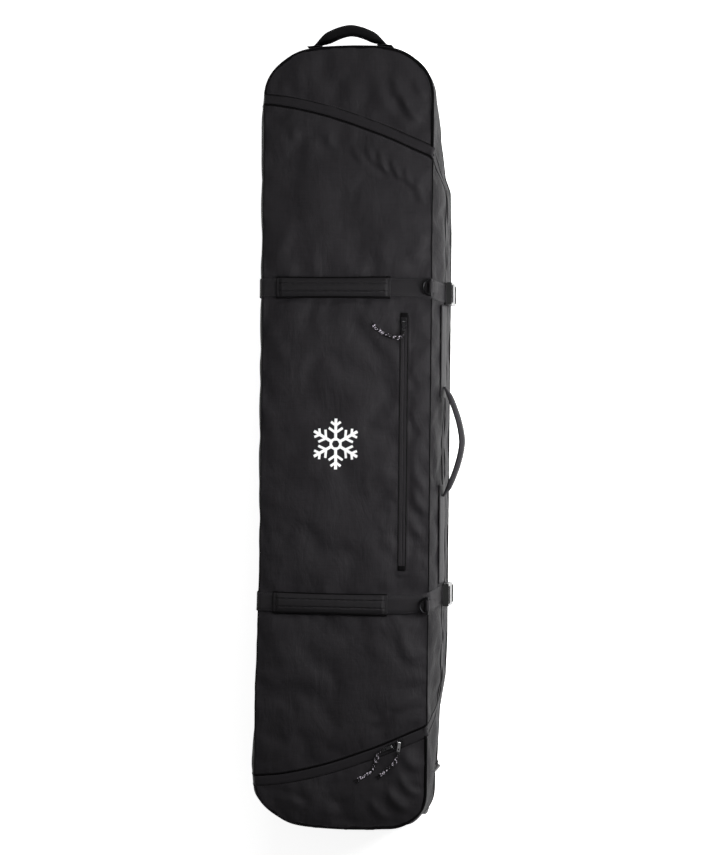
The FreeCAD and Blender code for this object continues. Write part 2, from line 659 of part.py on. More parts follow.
# ---------------------------------------------------------------- wheel end
def wheel_housing():
    """Moulded tray that closes the bag above the wheels and carries their axles."""
    low, high, skin = "housing_start", "housing_top", "housing_skin"
    bulkhead_low = f"{low} - {skin}"
    turn, flat = "housing_corner - half_length", "(housing_half_width - housing_corner)"
    outline = [("-housing_half_width", low), ("-housing_half_width", turn, "housing_corner"), (f"-{flat}", "-half_length"),
               (flat, "-half_length", "housing_corner"), ("housing_half_width", turn), ("housing_half_width", low)]
    roof = plate("housing_roof", "XY_Plane", outline, f"{high} - 3", high)
    bulkhead = box("housing_bulkhead", ("-housing_half_width", "housing_half_width"), (bulkhead_low, low),
                   ("rail_height", f"{high} - 3"))
    end = box("housing_end", ("-cheek_outer", "cheek_outer"), ("-half_length + 2", f"-half_length + 2 + {skin}"),
              ("rail_height", f"{high} - 3"))
    sole = box("housing_sole", ("-cheek_outer", "cheek_outer"), ("-half_length + 2", low),
               ("rail_height", f"rail_height + {skin}"))
    pieces, holes = [], []
    for side, sign in (("left", "-"), ("right", "")):
        near, far = f"{sign}(cheek_outer - {skin})", f"{sign}cheek_outer"
        span = (near, far) if sign == "" else (far, near)
        pieces.append(box(f"cheek_{side}", span, ("-half_length + 2", low), ("rail_height", f"{high} - 3")))
        boss_start = "cheek_outer" if sign == "" else "-cheek_outer - 3"
        pieces.append(drum(f"boss_{side}", "2 * axle_radius", "x", (boss_start, "wheel_y", "wheel_z"), "3"))
        hole_start = f"cheek_outer - {skin} - 1" if sign == "" else "-cheek_outer - 4"
        holes.append(drum(f"axle_hole_{side}", "axle_radius", "x", (hole_start, "wheel_y", "wheel_z"),
                          f"{skin} + 5"))
    shell = fuse("housing_shell", roof, bulkhead, end, sole, *pieces)
    node(cut("housing_cut", shell, *holes), "wheel_housing")


def wheels():
    """Skate-type wheels: tyre, hub and two bearings turning on a bolt through the housing's cheek."""
    for side, sign in (("left", "-"), ("right", "")):
        centre = (f"{sign}wheel_x", "wheel_y", "wheel_z")
        edge, shoulder = "tyre_width / 2", "tyre_width / 2 - 7"
        tyre = [(f"-({edge})", "hub_radius"), (edge, "hub_radius"), (edge, "wheel_radius - 7", "7"),
                (shoulder, "wheel_radius"), (f"-({shoulder})", "wheel_radius", "7"),
                (f"-({edge})", "wheel_radius - 7")]
        node(turned(f"tyre_{side}_body", tyre, centre), f"tyre_{side}")
        rim, web, inner = "hub_width / 2", "bearing_set - bearing_width", "bearing_radius + 5"
        hub = [(f"-({rim})", inner), (f"-({rim})", "bearing_radius"), (f"-({web})", "bearing_radius"),
               (f"-({web})", "axle_radius + 3"), (web, "axle_radius + 3"), (web, "bearing_radius"),
               (rim, "bearing_radius"), (rim, inner), ("4", f"{inner} + 2"), ("4", "hub_radius - 4"),
               (rim, "hub_radius - 3"), (rim, "hub_radius"), (f"-({rim})", "hub_radius"),
               (f"-({rim})", "hub_radius - 3"), ("-4", "hub_radius - 4"), ("-4", f"{inner} + 2")]
        node(turned(f"hub_{side}_body", hub, centre), f"hub_{side}")
        rings = []
        for index, start in enumerate(("-bearing_set", "bearing_set - bearing_width")):
            place = (f"{centre[0]} + {start}", "wheel_y", "wheel_z")
            outer = drum(f"race_{side}_{index}", "bearing_radius", "x", place, "bearing_width")
            bore = drum(f"race_bore_{side}_{index}", "axle_radius + axle_clearance", "x", place, "bearing_width")
            rings.append(cut(f"bearing_{side}_{index}", outer, bore))
        node(group(f"bearing_pair_{side}", *rings), f"bearings_{side}")
        outward = "1" if sign == "" else "-1"
        head, tip = f"{outward} * 13.5", f"{outward} * (cheek_outer - housing_skin - wheel_x)"
        bolt = [(f"{tip} - {outward} * 8", "0"), (f"{tip} - {outward} * 8", "7"), (tip, "7"),
                (tip, "axle_radius"), (head, "axle_radius"), (head, "8"), (f"{head} + {outward} * 2", "8"),
                (f"{head} + {outward} * 4", "5"), (f"{head} + {outward} * 4", "0")]
        node(turned(f"axle_{side}_body", bolt, centre), f"axle_bolt_{side}")


# ---------------------------------------------------------------- inside
def board_straps():
    """Two straps across the floor that hold the board down, each with a cam buckle."""
    half = "board_strap_width / 2"
    strips, cams = [], []
    for name, middle in (("top", "board_strap_y"), ("low", "-board_strap_y")):
        strap_top = f"{FLOOR_TOP} + webbing"
        strips.append(box(f"{name}_tie_strip", ("-board_strap_half", "board_strap_half"),
                          (f"{middle} - {half}", f"{middle} + {half}"), (FLOOR_TOP, strap_top)))
        frame_block = box(f"{name}_cam_frame", ("cam_near", "cam_far"),
                          (f"{middle} - cam_half", f"{middle} + cam_half"), (strap_top, f"{strap_top} + 3"))
        lever = box(f"{name}_cam_lever", ("cam_near + 4", "cam_far + 8"),
                    (f"{middle} - cam_half + 5", f"{middle} + cam_half - 5"), (f"{strap_top} + 3", f"{strap_top} + 6"))
        cams.append(fuse(f"{name}_cam", frame_block, lever))
    node(group("tie_strips", *strips), "board_straps")
    node(group("cams", *cams), "cam_buckles")


# ---------------------------------------------------------------- pull cords
def cord(name, points):
    """A round cord along straight runs joined by arcs as large as each pair of runs allows."""
    places = [Vector(*point) for point in points]
    edges, here = [], places[0]
    for before, corner, after in zip(places, places[1:], places[2:]):
        arriving, leaving = corner - before, after - corner
        turn = arriving.getAngle(leaving)
        shorter = min(arriving.Length, leaving.Length)
        back, onward = Vector(arriving).normalize(), Vector(leaving).normalize()
        reach = 0.45 * shorter
        start, end = corner - back * reach, corner + onward * reach
        radius = reach / math.tan(turn / 2)
        toward = (onward - back).normalize()
        middle = corner + toward * (radius / math.cos(turn / 2) - radius)
        print(f"{name}: turn {math.degrees(turn):.0f} degrees, radius {radius:.1f} mm")
        edges.append(Part.LineSegment(here, start).toShape())
        edges.append(Part.Arc(start, middle, end).toShape())
        here = end
    edges.append(Part.LineSegment(here, places[-1]).toShape())
    path = Part.Wire(edges)
    radius = value("cord_radius")
    section = Part.Wire([Part.Circle(places[0], places[1] - places[0], radius).toShape()])
    tube = path.makePipeShell([section], True, False)
    piece = doc.addObject("Part::Feature", name + "_tube")
    piece.Shape = tube
    piece.Placement = Placement()
    expected = math.pi * radius**2 * path.Length
    print(f"{name}: length {path.Length:.1f} mm, volume {tube.Volume:.0f} against {expected:.0f}")
    node(piece, name)


def pulls():
    """The three sliders with their tabs, and the cord that hangs from each tab."""
    tape_top = value("bag_top - zip_thick + slider_gap")
    pocket_level = value("bag_top - zip_thick + pocket_tape + slider_gap")
    slider("pocket_slider", Vector(value("pocket_zip_x"), value("pocket_slider_y"), pocket_level), -90, -90)
    for name, across, bail in (("left_slider", 104, None), ("right_slider", 121, -98)):
        centre = Vector(value("low_arc_x"), value("low_arc_y"), 0)
        radius = value("low_arc_radius")
        bearing = math.asin((across - centre.x) / radius)
        place = centre + Vector(math.sin(bearing), -math.cos(bearing), 0) * radius + Vector(0, 0, tape_top)
        along = math.degrees(bearing) + 180
        slider(name, place, along, along if bail is None else bail)
        print(f"{name}: pin at {place.x:.2f}, {place.y:.2f}, {place.z + value('pin_level'):.2f}, "
              f"travel {along:.2f} degrees")
    for name in ("pocket", "left", "right"):
        tab = nodes[f"{name}_pull_tab"]
        end = tab.Placement.multVec(Vector(value("tab_length"), 0, value("pin_level")))
        print(f"{name}_pull_tab ends at {end.x:.2f}, {end.y:.2f}, {end.z:.2f}")


CORDS = {
    "pocket_pull_cord": [(121, 214, 199.8), (121, 206.5, 199.8), (115, 201, 198.6), (105, 199.5, 198.1),
                         (94.5, 202, 198.1), (84, 207, 198.1), (74.5, 212, 198.1), (65.5, 217.5, 198.1),
                         (58.5, 225, 198.1)],
    "left_pull_cord": [(87.6, -641.3, 198.3), (79.9, -644.8, 198.2), (75.6, -654.5, 198.1), (72.5, -666, 198.1),
                       (69.5, -677, 198.1), (62.5, -686, 198.1), (53.5, -692.5, 198.1), (44.5, -697.5, 198.1),
                       (37, -703.5, 198.1)],
    "right_pull_cord": [(118.5, -643.8, 198.3), (117.2, -653.2, 198.2), (113.5, -663.5, 198.1), (107, -672.5, 198.1),
                        (98.5, -679.5, 198.1), (90, -685.5, 198.1), (82.5, -692.5, 198.1)],
}


def check():
    """Every object is computed, and every sub-part is a valid solid."""
    doc.recompute()
    for thing in doc.Objects:
        if {"Invalid", "Error"} & set(thing.State):
            raise RuntimeError(f"{thing.Label} is {thing.State}")
    for label, thing in nodes.items():
        shape = thing.Shape
        if shape.isNull() or not shape.isValid() or not shape.Solids:
            raise RuntimeError(f"{label} has no valid solid")


back()
end_wall("top_end_wall", "", "rail_height + fabric", TOP_START)
end_wall("wheel_end_wall", "-", "housing_top", LOW_START)
side_walls()
end_panels()
lid()
zippers()
pocket_zipper()
straps()
side_handle()
grab_handle()
wheel_housing()
wheels()
board_straps()
pulls()
for cord_name, route in CORDS.items():
    cord(cord_name, route)
check()

os.makedirs("parts", exist_ok=True)
for label, thing in nodes.items():
    shape = thing.Shape
    shape.exportStep(f"parts/{label}.step")
    size = shape.BoundBox
    print(f"{label:22s} {len(shape.Solids)} solid  {shape.Volume / 1000:9.1f} cm3  "
          f"x {size.XMin:7.1f} {size.XMax:7.1f}  y {size.YMin:7.1f} {size.YMax:7.1f}  z {size.ZMin:6.1f} {size.ZMax:6.1f}")
print(len(nodes), "nodes")
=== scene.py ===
"""Looks of the wheeled snowboard bag: sewn shell, zippers, webbing, handles, padding and pull cords.

Lengths in this file are millimetres, in the frame of the CAD model, and are turned to metres where a mesh is made.
A place on the bag's fabric is (c, y): c runs across the bag, 0 on the middle line, +-SEAM on the side seams,
and beyond them it grows by one for each millimetre down the wall; y runs along the bag.
"""
import bmesh
import bpy
import math
import numpy as np
from mathutils import Matrix, Vector


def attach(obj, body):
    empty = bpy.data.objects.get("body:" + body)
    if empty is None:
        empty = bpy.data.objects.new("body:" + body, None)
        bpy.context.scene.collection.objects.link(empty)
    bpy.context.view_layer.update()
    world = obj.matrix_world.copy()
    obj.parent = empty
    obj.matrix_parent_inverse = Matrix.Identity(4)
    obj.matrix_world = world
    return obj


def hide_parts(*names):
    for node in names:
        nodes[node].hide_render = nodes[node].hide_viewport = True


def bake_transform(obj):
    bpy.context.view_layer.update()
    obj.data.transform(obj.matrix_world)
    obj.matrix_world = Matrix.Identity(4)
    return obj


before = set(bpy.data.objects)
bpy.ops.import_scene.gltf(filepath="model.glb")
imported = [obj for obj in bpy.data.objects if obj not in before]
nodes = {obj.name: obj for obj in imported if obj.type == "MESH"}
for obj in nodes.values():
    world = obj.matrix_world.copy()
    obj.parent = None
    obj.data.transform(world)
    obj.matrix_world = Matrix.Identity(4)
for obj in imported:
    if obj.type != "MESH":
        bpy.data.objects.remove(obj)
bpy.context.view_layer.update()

MM = 0.001
SEAM = 170.0
SEAM_Z = 189.0
TOP_END = 798.5
LOW_END = -807.0
SKIRT_Z = 8.0
LEVEL = 100.0
FOLD_Z = 100.0
TOP_ARC = (-305.0, -238.0, 931.0)
LOW_ARC = (-217.0, 77.0, 780.0)
STRAPS = {"top": (303.0, 295.0), "low": (-345.0, -328.0)}
TOP_CORNER = 100.0
LOW_CORNERS = (91.0, 72.0)
BOW = 4.0
GRIP_LEVEL = 132.0
POCKET_X, POCKET_LOW, POCKET_HIGH = 121.0, -274.0, 246.0
POCKET_MIDDLE, GRIP_MIDDLE = -14.0, -11.0
# the webbing along the right wall stops short of the side handle: y from and to
SIDE_WEB = ((-303.0, -100.0), (80.0, 270.0))
HOUSING_Y, HOUSING_Z = -692.0, 96.6
PADDING = 6.0
WAVE_SCALE = 0.314  # the wave texture's scale for bands one unit apart
UP, ALONG = np.array([0, 0, 1.0]), np.array([0, 1.0, 0])
# how far the walls stand out of the seam where they are fullest, and at their foot: (y, fullest, foot)
RIGHT_WALL = [(-800, 2, 3), (-700, 5, 4), (-685, 4, -4), (-640, 5, -2), (-572, 8, 1), (-506, 16, 12), (-422, 18, 15),
              (428, 18, 15), (515, 16, 12), (545, 8, 1), (594, 4, -5), (650, -3, -13), (698, -9, -22), (800, -10, -26)]
LEFT_WALL = [(-800, 5, -1), (-740, 10, -1), (-690, 13, -1), (-560, 13, 7), (-507, 9, 6), (-425, 8, 6), (-342, 11, 8),
             (-220, 11, 9), (-136, 13, 10), (0, 15, 12), (200, 15, 12), (560, 16, 12), (640, 18, 13), (690, 15, 9),
             (730, 9, 3), (800, 3, -3)]
rng = np.random.default_rng(7)


# ---------------------------------------------------------------- camera
def make_camera():
    aim, distance = Vector((0.0318, 0.0163, 0.195)), 4.5
    data = bpy.data.cameras.new("camera")
    data.lens = 92.6
    data.sensor_width = 36
    data.clip_end = 50
    camera = bpy.data.objects.new("camera", data)
    bpy.context.scene.collection.objects.link(camera)
    tilt, roll = math.radians(9.6), math.radians(0.62)
    back = Vector((math.sin(tilt), 0, math.cos(tilt)))
    right = Vector((-math.sin(roll), math.cos(roll), 0)).cross(back).normalized()
    turn = Matrix((right, back.cross(right), back)).transposed().to_4x4()
    camera.matrix_world = Matrix.Translation(aim + back * distance) @ turn
    bpy.context.scene.camera = camera


make_camera()


# ---------------------------------------------------------------- meshes
def mesh_object(name, points, faces, uvs=None, smooth=True):
    """An object from points in mm; uvs gives one pair for each point, in mm."""
    data = bpy.data.meshes.new(name)
    data.from_pydata((np.asarray(points, float) * MM).tolist(), [], [tuple(face) for face in faces])
    data.update()
    if uvs is not None:
        layer = data.uv_layers.new(name="cloth")
        index = np.zeros(len(data.loops), np.int32)
        data.loops.foreach_get("vertex_index", index)
        layer.data.foreach_set("uv", (np.asarray(uvs, float) * MM)[index].astype(np.float32).ravel())
    if smooth:
        data.polygons.foreach_set("use_smooth", np.ones(len(data.polygons), bool))
    thing = bpy.data.objects.new(name, data)
    bpy.context.scene.collection.objects.link(thing)
    return thing


def grid_faces(rows, columns, closed_columns=False, closed_rows=False, first=0):
    """Quads over a grid stored row by row."""
    faces = []
    for row in range(rows if closed_rows else rows - 1):
        after = (row + 1) % rows
        for column in range(columns if closed_columns else columns - 1):
            beside = (column + 1) % columns
            faces.append((first + row * columns + column, first + row * columns + beside,
                          first + after * columns + beside, first + after * columns + column))
    return faces


def unit(vectors):
    """The same directions at length 1."""
    length = np.linalg.norm(vectors, axis=-1, keepdims=True)
    return vectors / np.maximum(length, 1e-9)


def along(points):
    """Distance along a line of points."""
    return np.concatenate([[0], np.cumsum(np.linalg.norm(np.diff(points, axis=0), axis=1))])


def read_at(points, run, at):
    """Places at a distance, or at several, along a line; run is the distance of each of its points."""
    return np.stack([np.interp(at, run, points[:, axis]) for axis in range(points.shape[1])], -1)


def resample(points, step):
    """The same line with even steps of about that length."""
    points = np.asarray(points, float)
    run = along(points)
    return read_at(points, run, np.linspace(0, run[-1], max(2, int(round(run[-1] / step)) + 1)))


def eased(line, times):
    """Moves each point of the line towards its neighbours; both ends stay."""
    for _ in range(times):
        line[1:-1] = (line[:-2] + 2 * line[1:-1] + line[2:]) / 4
    return line


def facing(direction, count):
    """One direction for each of count points."""
    return np.repeat(np.array([direction], float), count, 0)


def grid_object(name, points, flat, smooth=True):
    """A sheet from a grid of points and the grid of their places when it is laid flat."""
    return mesh_object(name, points.reshape(-1, 3), grid_faces(*points.shape[:2]), flat.reshape(-1, 2), smooth)


def sweep(name, points, normals, section, closed=False):
    """A solid along a line: section is (across, out) for each corner, the same or one set for each point."""
    points, normals = np.asarray(points, float), np.asarray(normals, float)
    tangent = unit(np.roll(points, -1, 0) - np.roll(points, 1, 0) if closed else np.gradient(points, axis=0))
    across = unit(np.cross(tangent, normals))
    out = unit(np.cross(across, tangent))
    section = np.asarray(section, float)
    if section.ndim == 2:
        section = np.repeat(section[None], len(points), 0)
    corners = section.shape[1]
    places = points[:, None] + across[:, None] * section[..., :1] + out[:, None] * section[..., 1:]
    uvs = np.stack([np.tile(along(section[len(section) // 2]), len(points)), np.repeat(along(points), corners)], 1)
    faces = grid_faces(len(points), corners, closed_columns=True, closed_rows=closed)
    if not closed:
        faces.append(tuple(range(corners))[::-1])
        faces.append(tuple(range((len(points) - 1) * corners, len(points) * corners)))
    thing = mesh_object(name, places.reshape(-1, 3), faces, uvs)
    thing.data.flip_normals()
    return thing


def strip_section(width, thick, lift=0.0):
    """Flat webbing with softened edges, lying on the line."""
    half, bevel = width / 2, thick * 0.35
    return [(-half, lift + bevel), (-half, lift + thick - bevel), (-half + bevel, lift + thick),
            (-half * 0.5, lift + thick), (0, lift + thick), (half * 0.5, lift + thick), (half - bevel, lift + thick),
            (half, lift + thick - bevel), (half, lift + bevel), (half - bevel, lift), (0, lift), (-half + bevel, lift)]


def round_section(radius, sides=8):
    """A round section for sweep."""
    turn = np.linspace(0, 2 * math.pi, sides, endpoint=False)
    return np.stack([radius * np.cos(turn), radius * np.sin(turn)], 1)


def joined(name, things):
    """Several meshes made one."""
    points, faces, uvs, first = [], [], [], 0
    for thing in things:
        data = thing.data
        spots = np.zeros(len(data.vertices) * 3)
        data.vertices.foreach_get("co", spots)
        points.append(spots.reshape(-1, 3) / MM)
        faces += [tuple(first + index for index in face.vertices) for face in data.polygons]
        spot_uv = np.zeros((len(data.vertices), 2))
        if data.uv_layers:
            flat = np.zeros(len(data.loops) * 2)
            data.uv_layers[0].data.foreach_get("uv", flat)
            index = np.zeros(len(data.loops), np.int32)
            data.loops.foreach_get("vertex_index", index)
            spot_uv[index] = flat.reshape(-1, 2) / MM
        uvs.append(spot_uv)
        first += len(data.vertices)
        bpy.data.objects.remove(thing)
    return mesh_object(name, np.concatenate(points), faces, np.concatenate(uvs))


# ---------------------------------------------------------------- the bag's surface
def blend_step(value, start, end):
    """0 before start, 1 beyond end, and a smooth rise between them."""
    t = np.clip((value - start) / (end - start), 0, 1)
    return t * t * (3 - 2 * t)


def corner_radius(x, y):
    """Plan radius of the seam's corners."""
    return np.where(y > 0, TOP_CORNER, np.where(x < 0, LOW_CORNERS[0], LOW_CORNERS[1]))


def end_reach(x, y):
    """How far the seam reaches at each end: the ends are bowed a little."""
    bow = BOW * np.clip(np.abs(x) / 90.0, 0, 1)**2
    return np.where(y > 0, TOP_END, -LOW_END) - bow


def seam_distance(x, y):
    """Distance inside the seam's outline."""
    radius = corner_radius(x, y)
    qx = np.abs(x) - (SEAM - radius)
    qy = np.abs(y) - (end_reach(x, y) - radius)
    outside = np.hypot(np.maximum(qx, 0), np.maximum(qy, 0))
    return radius - outside - np.minimum(np.maximum(qx, qy), 0)


def half_width_at(y, side):
    """The seam's distance from the middle line."""
    radius = corner_radius(side, y)
    reach = np.where(y > 0, TOP_END, -LOW_END) - BOW
    past = np.clip(np.abs(y) - (reach - radius), 0, radius * 0.98)
    return SEAM - radius + np.sqrt(radius**2 - past**2)


# each fold: from x, y to x, y, half width, height
FOLDS = [
    (112, 700, 150, 640, 9, 2.6), (92, 742, 128, 668, 10, 2.0), (60, 720, 100, 650, 14, 1.3),
    (140, 735, 158, 690, 7, 1.6), (40, 590, 78, 545, 6, 1.5), (66, 585, 92, 530, 6, 1.9), (92, 566, 120, 520, 6, 1.8),
    (120, 548, 142, 505, 6, 1.6), (10, 600, 40, 556, 7, 1.2), (-40, 622, -22, 585, 8, 0.9),
    (-110, 640, -102, 600, 9, 0.9), (146, 530, 158, 470, 7, 1.6), (134, -30, 168, -120, 9, 2.4),
    (138, -90, 166, -165, 8, 2.0), (134, -150, 164, -215, 9, 1.7), (136, 60, 168, 0, 9, 1.5),
    (136, 150, 166, 95, 10, 1.3), (80, -60, 112, -130, 14, 1.0), (86, -180, 110, -240, 12, 1.1),
    (-160, 240, -120, 150, 12, 1.3), (-164, 60, -130, -40, 14, 1.2), (-162, -160, -128, -250, 12, 1.2),
    (-60, 268, -40, 200, 14, 1.0), (40, 266, 66, 190, 14, 1.0), (-150, 360, -120, 440, 13, 1.2),
    (130, 350, 154, 430, 12, 1.5), (60, 345, 84, 420, 16, 1.0), (-70, 340, -60, 420, 18, 0.8),
    (-150, -385, -118, -470, 13, 1.2), (120, -390, 152, -470, 11, 1.7), (60, -380, 90, -470, 16, 1.1),
    (-60, -385, -44, -480, 18, 0.8), (100, -560, 150, -520, 9, 1.6), (60, -590, 100, -560, 9, 1.4),
    (-30, -640, 10, -590, 10, 1.1), (-130, -660, -100, -600, 10, 1.0), (96, -720, 142, -765, 9, 2.2),
    (120, -690, 160, -735, 8, 2.0), (60, -740, 104, -785, 9, 1.6), (128, -640, 166, -690, 9, 1.6),
    (-30, -735, -10, -785, 14, 1.3), (-110, -715, -86, -770, 12, 1.3), (-60, -760, -130, -735, 10, -1.3),
    (20, -700, -60, -716, 12, 1.0), (-20, 768, 10, 700, 16, 1.1), (-110, 760, -80, 700, 12, 1.4),
    (-130, 700, -150, 660, 10, 1.2), (-60, 720, 20, 742, 18, -1.1),
]


def fold_height(c, y):
    """Soft ridges and hollows pressed into the cloth."""
    height = np.zeros_like(c)
    for x0, y0, x1, y1, width, tall in FOLDS:
        line = np.array([x1 - x0, y1 - y0], float)
        size = np.hypot(*line)
        t = ((c - x0) * line[0] + (y - y0) * line[1]) / size**2
        off = ((c - x0) * line[1] - (y - y0) * line[0]) / size
        bend = 6.0 * np.sin(np.clip(t, 0, 1) * math.pi)
        along_shape = np.exp(-((t - 0.5) / 0.42)**4)
        across = (off - bend) / width
        height += tall * along_shape * (np.exp(-across**2) - 0.45 * np.exp(-((across - 1.9) / 1.2)**2))
    return height


WAVES = [(rng.uniform(-1, 1), rng.uniform(-1, 1), rng.uniform(0, 6.28), rng.uniform(70, 240), rng.uniform(0.25, 0.8))
         for _ in range(16)]
CRINKLES = [(rng.uniform(0, 6.28), rng.uniform(17, 60), rng.uniform(0, 6.28), rng.uniform(120, 300)) for _ in range(5)]


def slack(c, y):
    """Low rolling waves over the whole cloth."""
    height = np.zeros_like(c)
    for a, b, phase, length, tall in WAVES:
        size = math.hypot(a, b)
        height += tall * 0.55 * np.sin((c * a + y * b * 0.5) / size * 2 * math.pi / length + phase)
    return height


def puckers(run, away, depth=1.0, reach=20.0):
    """Short gathers that leave a seam: run is the distance along it, away the distance from it."""
    wave = np.zeros_like(run)
    for phase, length, slow_phase, slow in CRINKLES:
        wave += np.sin(run * 2 * math.pi / length + phase) * (0.5 + 0.5 * np.sin(run * 2 * math.pi / slow + slow_phase))
    return depth * 0.36 * wave * np.exp(-np.maximum(away, 0) / reach) * (1 - np.exp(-np.maximum(away, 0) / 4.0))


def strap_dent(y):
    """The straps pull the cloth in."""
    return sum(np.exp(-((y - middle) / 42.0)**2) for middle, _ in STRAPS.values())


def arc_y(arc, x):
    """y of a zipper's arc over the front."""
    cx, cy, radius = arc
    reach = np.sqrt(np.maximum(radius**2 - (x - cx)**2, 1.0))
    if arc is TOP_ARC:
        return cy + reach + np.interp(x, [-170, 40, 170], [9, 10, 16])
    return cy - reach + np.interp(x, [-170, -60, 40], [-13, -6, 0])


def zip_distance(c, y):
    """Distance from the nearer zipper arc, roughly, on the front."""
    x, steep = np.clip(c, -SEAM, SEAM), 0.9
    return np.minimum(*(np.abs(y - arc_y(arc, x)) * steep for arc in (TOP_ARC, LOW_ARC)))


def fullness(y, side):
    """How far the wall stands out of the seam at its fullest and at its foot."""
    spots = [np.interp(y, [row[0] for row in table], [row[part] for row in table])
             for table in (LEFT_WALL, RIGHT_WALL) for part in (1, 2)]
    return np.where(side < 0, spots[0], spots[2]), np.where(side < 0, spots[1], spots[3])


def wall_foot(y):
    """Height of the wall's lower edge: the back seam, or the wheel housing's rim."""
    return np.where(y < HOUSING_Y, HOUSING_Z, SKIRT_Z)


def wall_out(full, foot, y, z):
    """Distance outside the seam at height z."""
    widest = 104.0 + 40.0 * blend_step(y, -600, -690)
    up = np.clip((z - widest) / (SEAM_Z - widest), 0, 1.3)
    down = np.clip((widest - z) / (widest - wall_foot(y)), 0, 1)
    return full * (1 - up**2.1) + (foot - full) * down**1.6


def grip_hollow(side, y, z):
    """How far the right wall is pressed in behind the side handle."""
    grip = np.exp(-((y - GRIP_MIDDLE) / 62.0)**2) * np.exp(-((z - GRIP_LEVEL) / 34.0)**2)
    return np.where(side > 0, 6.5 * grip, 0)


def spread(x, y):
    """Draws both seams out towards the bag's edges, the left one further at the wheel end."""
    return x + 6.0 * blend_step(x, 125, 170) - (7.0 + 6.0 * blend_step(-y, 250, 550)) * blend_step(-x, 125, 170)


def front_z(x, y):
    """Height of the front: a low crown, pulled in under the straps and the zipper."""
    inside = np.maximum(seam_distance(x, y), 0)
    crown = 6.0 * (1 - np.exp(-inside / 34.0))
    crown -= 1.8 * strap_dent(y) * (1 - np.exp(-inside / 30.0))
    crown -= 1.2 * np.exp(-(zip_distance(x, y) / 26.0)**2)
    return SEAM_Z + crown


def base_surface(c, y):
    """The smooth surface at (c, y)."""
    side = np.sign(c)
    width = half_width_at(y, side)
    front = np.abs(c) <= SEAM
    x_front = c * width / SEAM
    z_wall = SEAM_Z - (np.abs(c) - SEAM)
    bulge = wall_out(*fullness(y, side), y, z_wall) - grip_hollow(side, y, z_wall)
    x = np.where(front, x_front, side * (width + bulge))
    return np.stack([spread(x, y), y, np.where(front, front_z(x_front, y), z_wall)], -1)


def cloth_height(c, y):
    """Every wrinkle at (c, y)."""
    inside = SEAM - np.abs(c)
    edge = 1 - np.exp(-np.abs(inside) / 9.0)
    near_zip = zip_distance(c, y)
    calm = 1 - np.exp(-(near_zip / 14.0)**2)
    strap_calm = 1 - np.clip(sum(np.exp(-((y - middle) / 24.0)**4) for middle, _ in STRAPS.values()), 0, 1)
    pocket = np.exp(-((c - POCKET_X) / 13.0)**4) * (np.abs(y - POCKET_MIDDLE) < 272)
    height = (1.9 * fold_height(c, y) + 0.5 * slack(c, y)) * edge * calm * (0.25 + 0.75 * strap_calm)
    height += 0.5 * puckers(y, np.abs(inside), 1.0, 15.0) + 0.5 * puckers(c + y * 0.2, near_zip - 10, 0.9, 16.0)
    height += settled_height(c, y)
    return height * (1 - 0.85 * pocket) * (1 - 0.6 * blend_step(-c, SEAM, SEAM + 12))


def surface(c, y, lift=0.0, cloth=1.0):
    """Points on the cloth, lifted off it along its normal."""
    c, y = np.asarray(c, float), np.asarray(y, float)
    c, y = np.broadcast_arrays(c, y)
    height = np.asarray(lift, float) + (cloth * cloth_height(c, y) if cloth else 0.0)
    return base_surface(c, y) + surface_normal(c, y) * height[..., None] * np.ones(c.shape + (1,))


def surface_normal(c, y):
    """The smooth surface's outward direction at (c, y)."""
    step = 1.5
    du = base_surface(c + step, y) - base_surface(c - step, y)
    dv = base_surface(c, y + step) - base_surface(c, y - step)
    return unit(np.cross(du, dv))


# ---------------------------------------------------------------- the zipper's line
def rounded(points, radius):
    """A line with its corners rounded."""
    step = 2.5
    points = [np.asarray(point, float) for point in points]
    result = [points[0]]
    for before, corner, after in zip(points, points[1:], points[2:]):
        back, on = unit(before - corner), unit(after - corner)
        half = math.acos(np.clip(np.dot(back, on), -1, 1)) / 2
        reach = radius / math.tan(half)
        start, end = corner + back * reach, corner + on * reach
        centre = corner + unit(back + on) * radius / math.sin(half)
        first, last = start - centre, end - centre
        sweep_angle = math.pi - 2 * half
        for t in np.linspace(0, 1, max(4, int(radius * sweep_angle / step))):
            mix = (math.sin((1 - t) * sweep_angle) * first + math.sin(t * sweep_angle) * last) / math.sin(sweep_angle)
            result.append(centre + mix)
    result.append(points[-1])
    return resample(np.array(result), step)


def zip_line():
    """The closed zipper's centre in (c, y), from the left fold over the top, down the right wall and back."""
    down = SEAM_Z - FOLD_Z
    top_x = np.linspace(-SEAM, SEAM, 160)
    top = [(x, arc_y(TOP_ARC, x)) for x in top_x]
    low = [(x, arc_y(LOW_ARC, x)) for x in top_x[::-1]]
    level = SEAM + SEAM_Z - LEVEL
    right = np.concatenate([rounded([top[-1], (level, 513), (level, 0)], 48),
                            rounded([(level, 0), (level, -562), low[0]], 26)[1:]])
    line = [(-SEAM - down - 12, top[0][1]), (-SEAM - 30, top[0][1])] + top[:-1]
    line += [tuple(point) for point in right] + low[1:]
    line += [(-SEAM - 30, low[-1][1]), (-SEAM - down - 12, low[-1][1])]
    return eased(resample(np.array(line), 3.0), 6)


ZIP = zip_line()


def line_offset(line, width):
    """The line moved sideways in (c, y); positive is towards the bag's ends."""
    tangent = unit(np.gradient(line, axis=0))
    side = np.stack([-tangent[:, 1], tangent[:, 0]], 1)
    return line + side * width


def boundary(width):
    """The offset zipper line as y over c at each end, and as c over y on the right wall."""
    line = line_offset(ZIP, width)
    half = int(np.argmin(np.abs(line[:, 1] + 22) + 1000 * (line[:, 0] < 200)))
    top, low = line[:half + 1], line[half:][::-1]
    return top, low


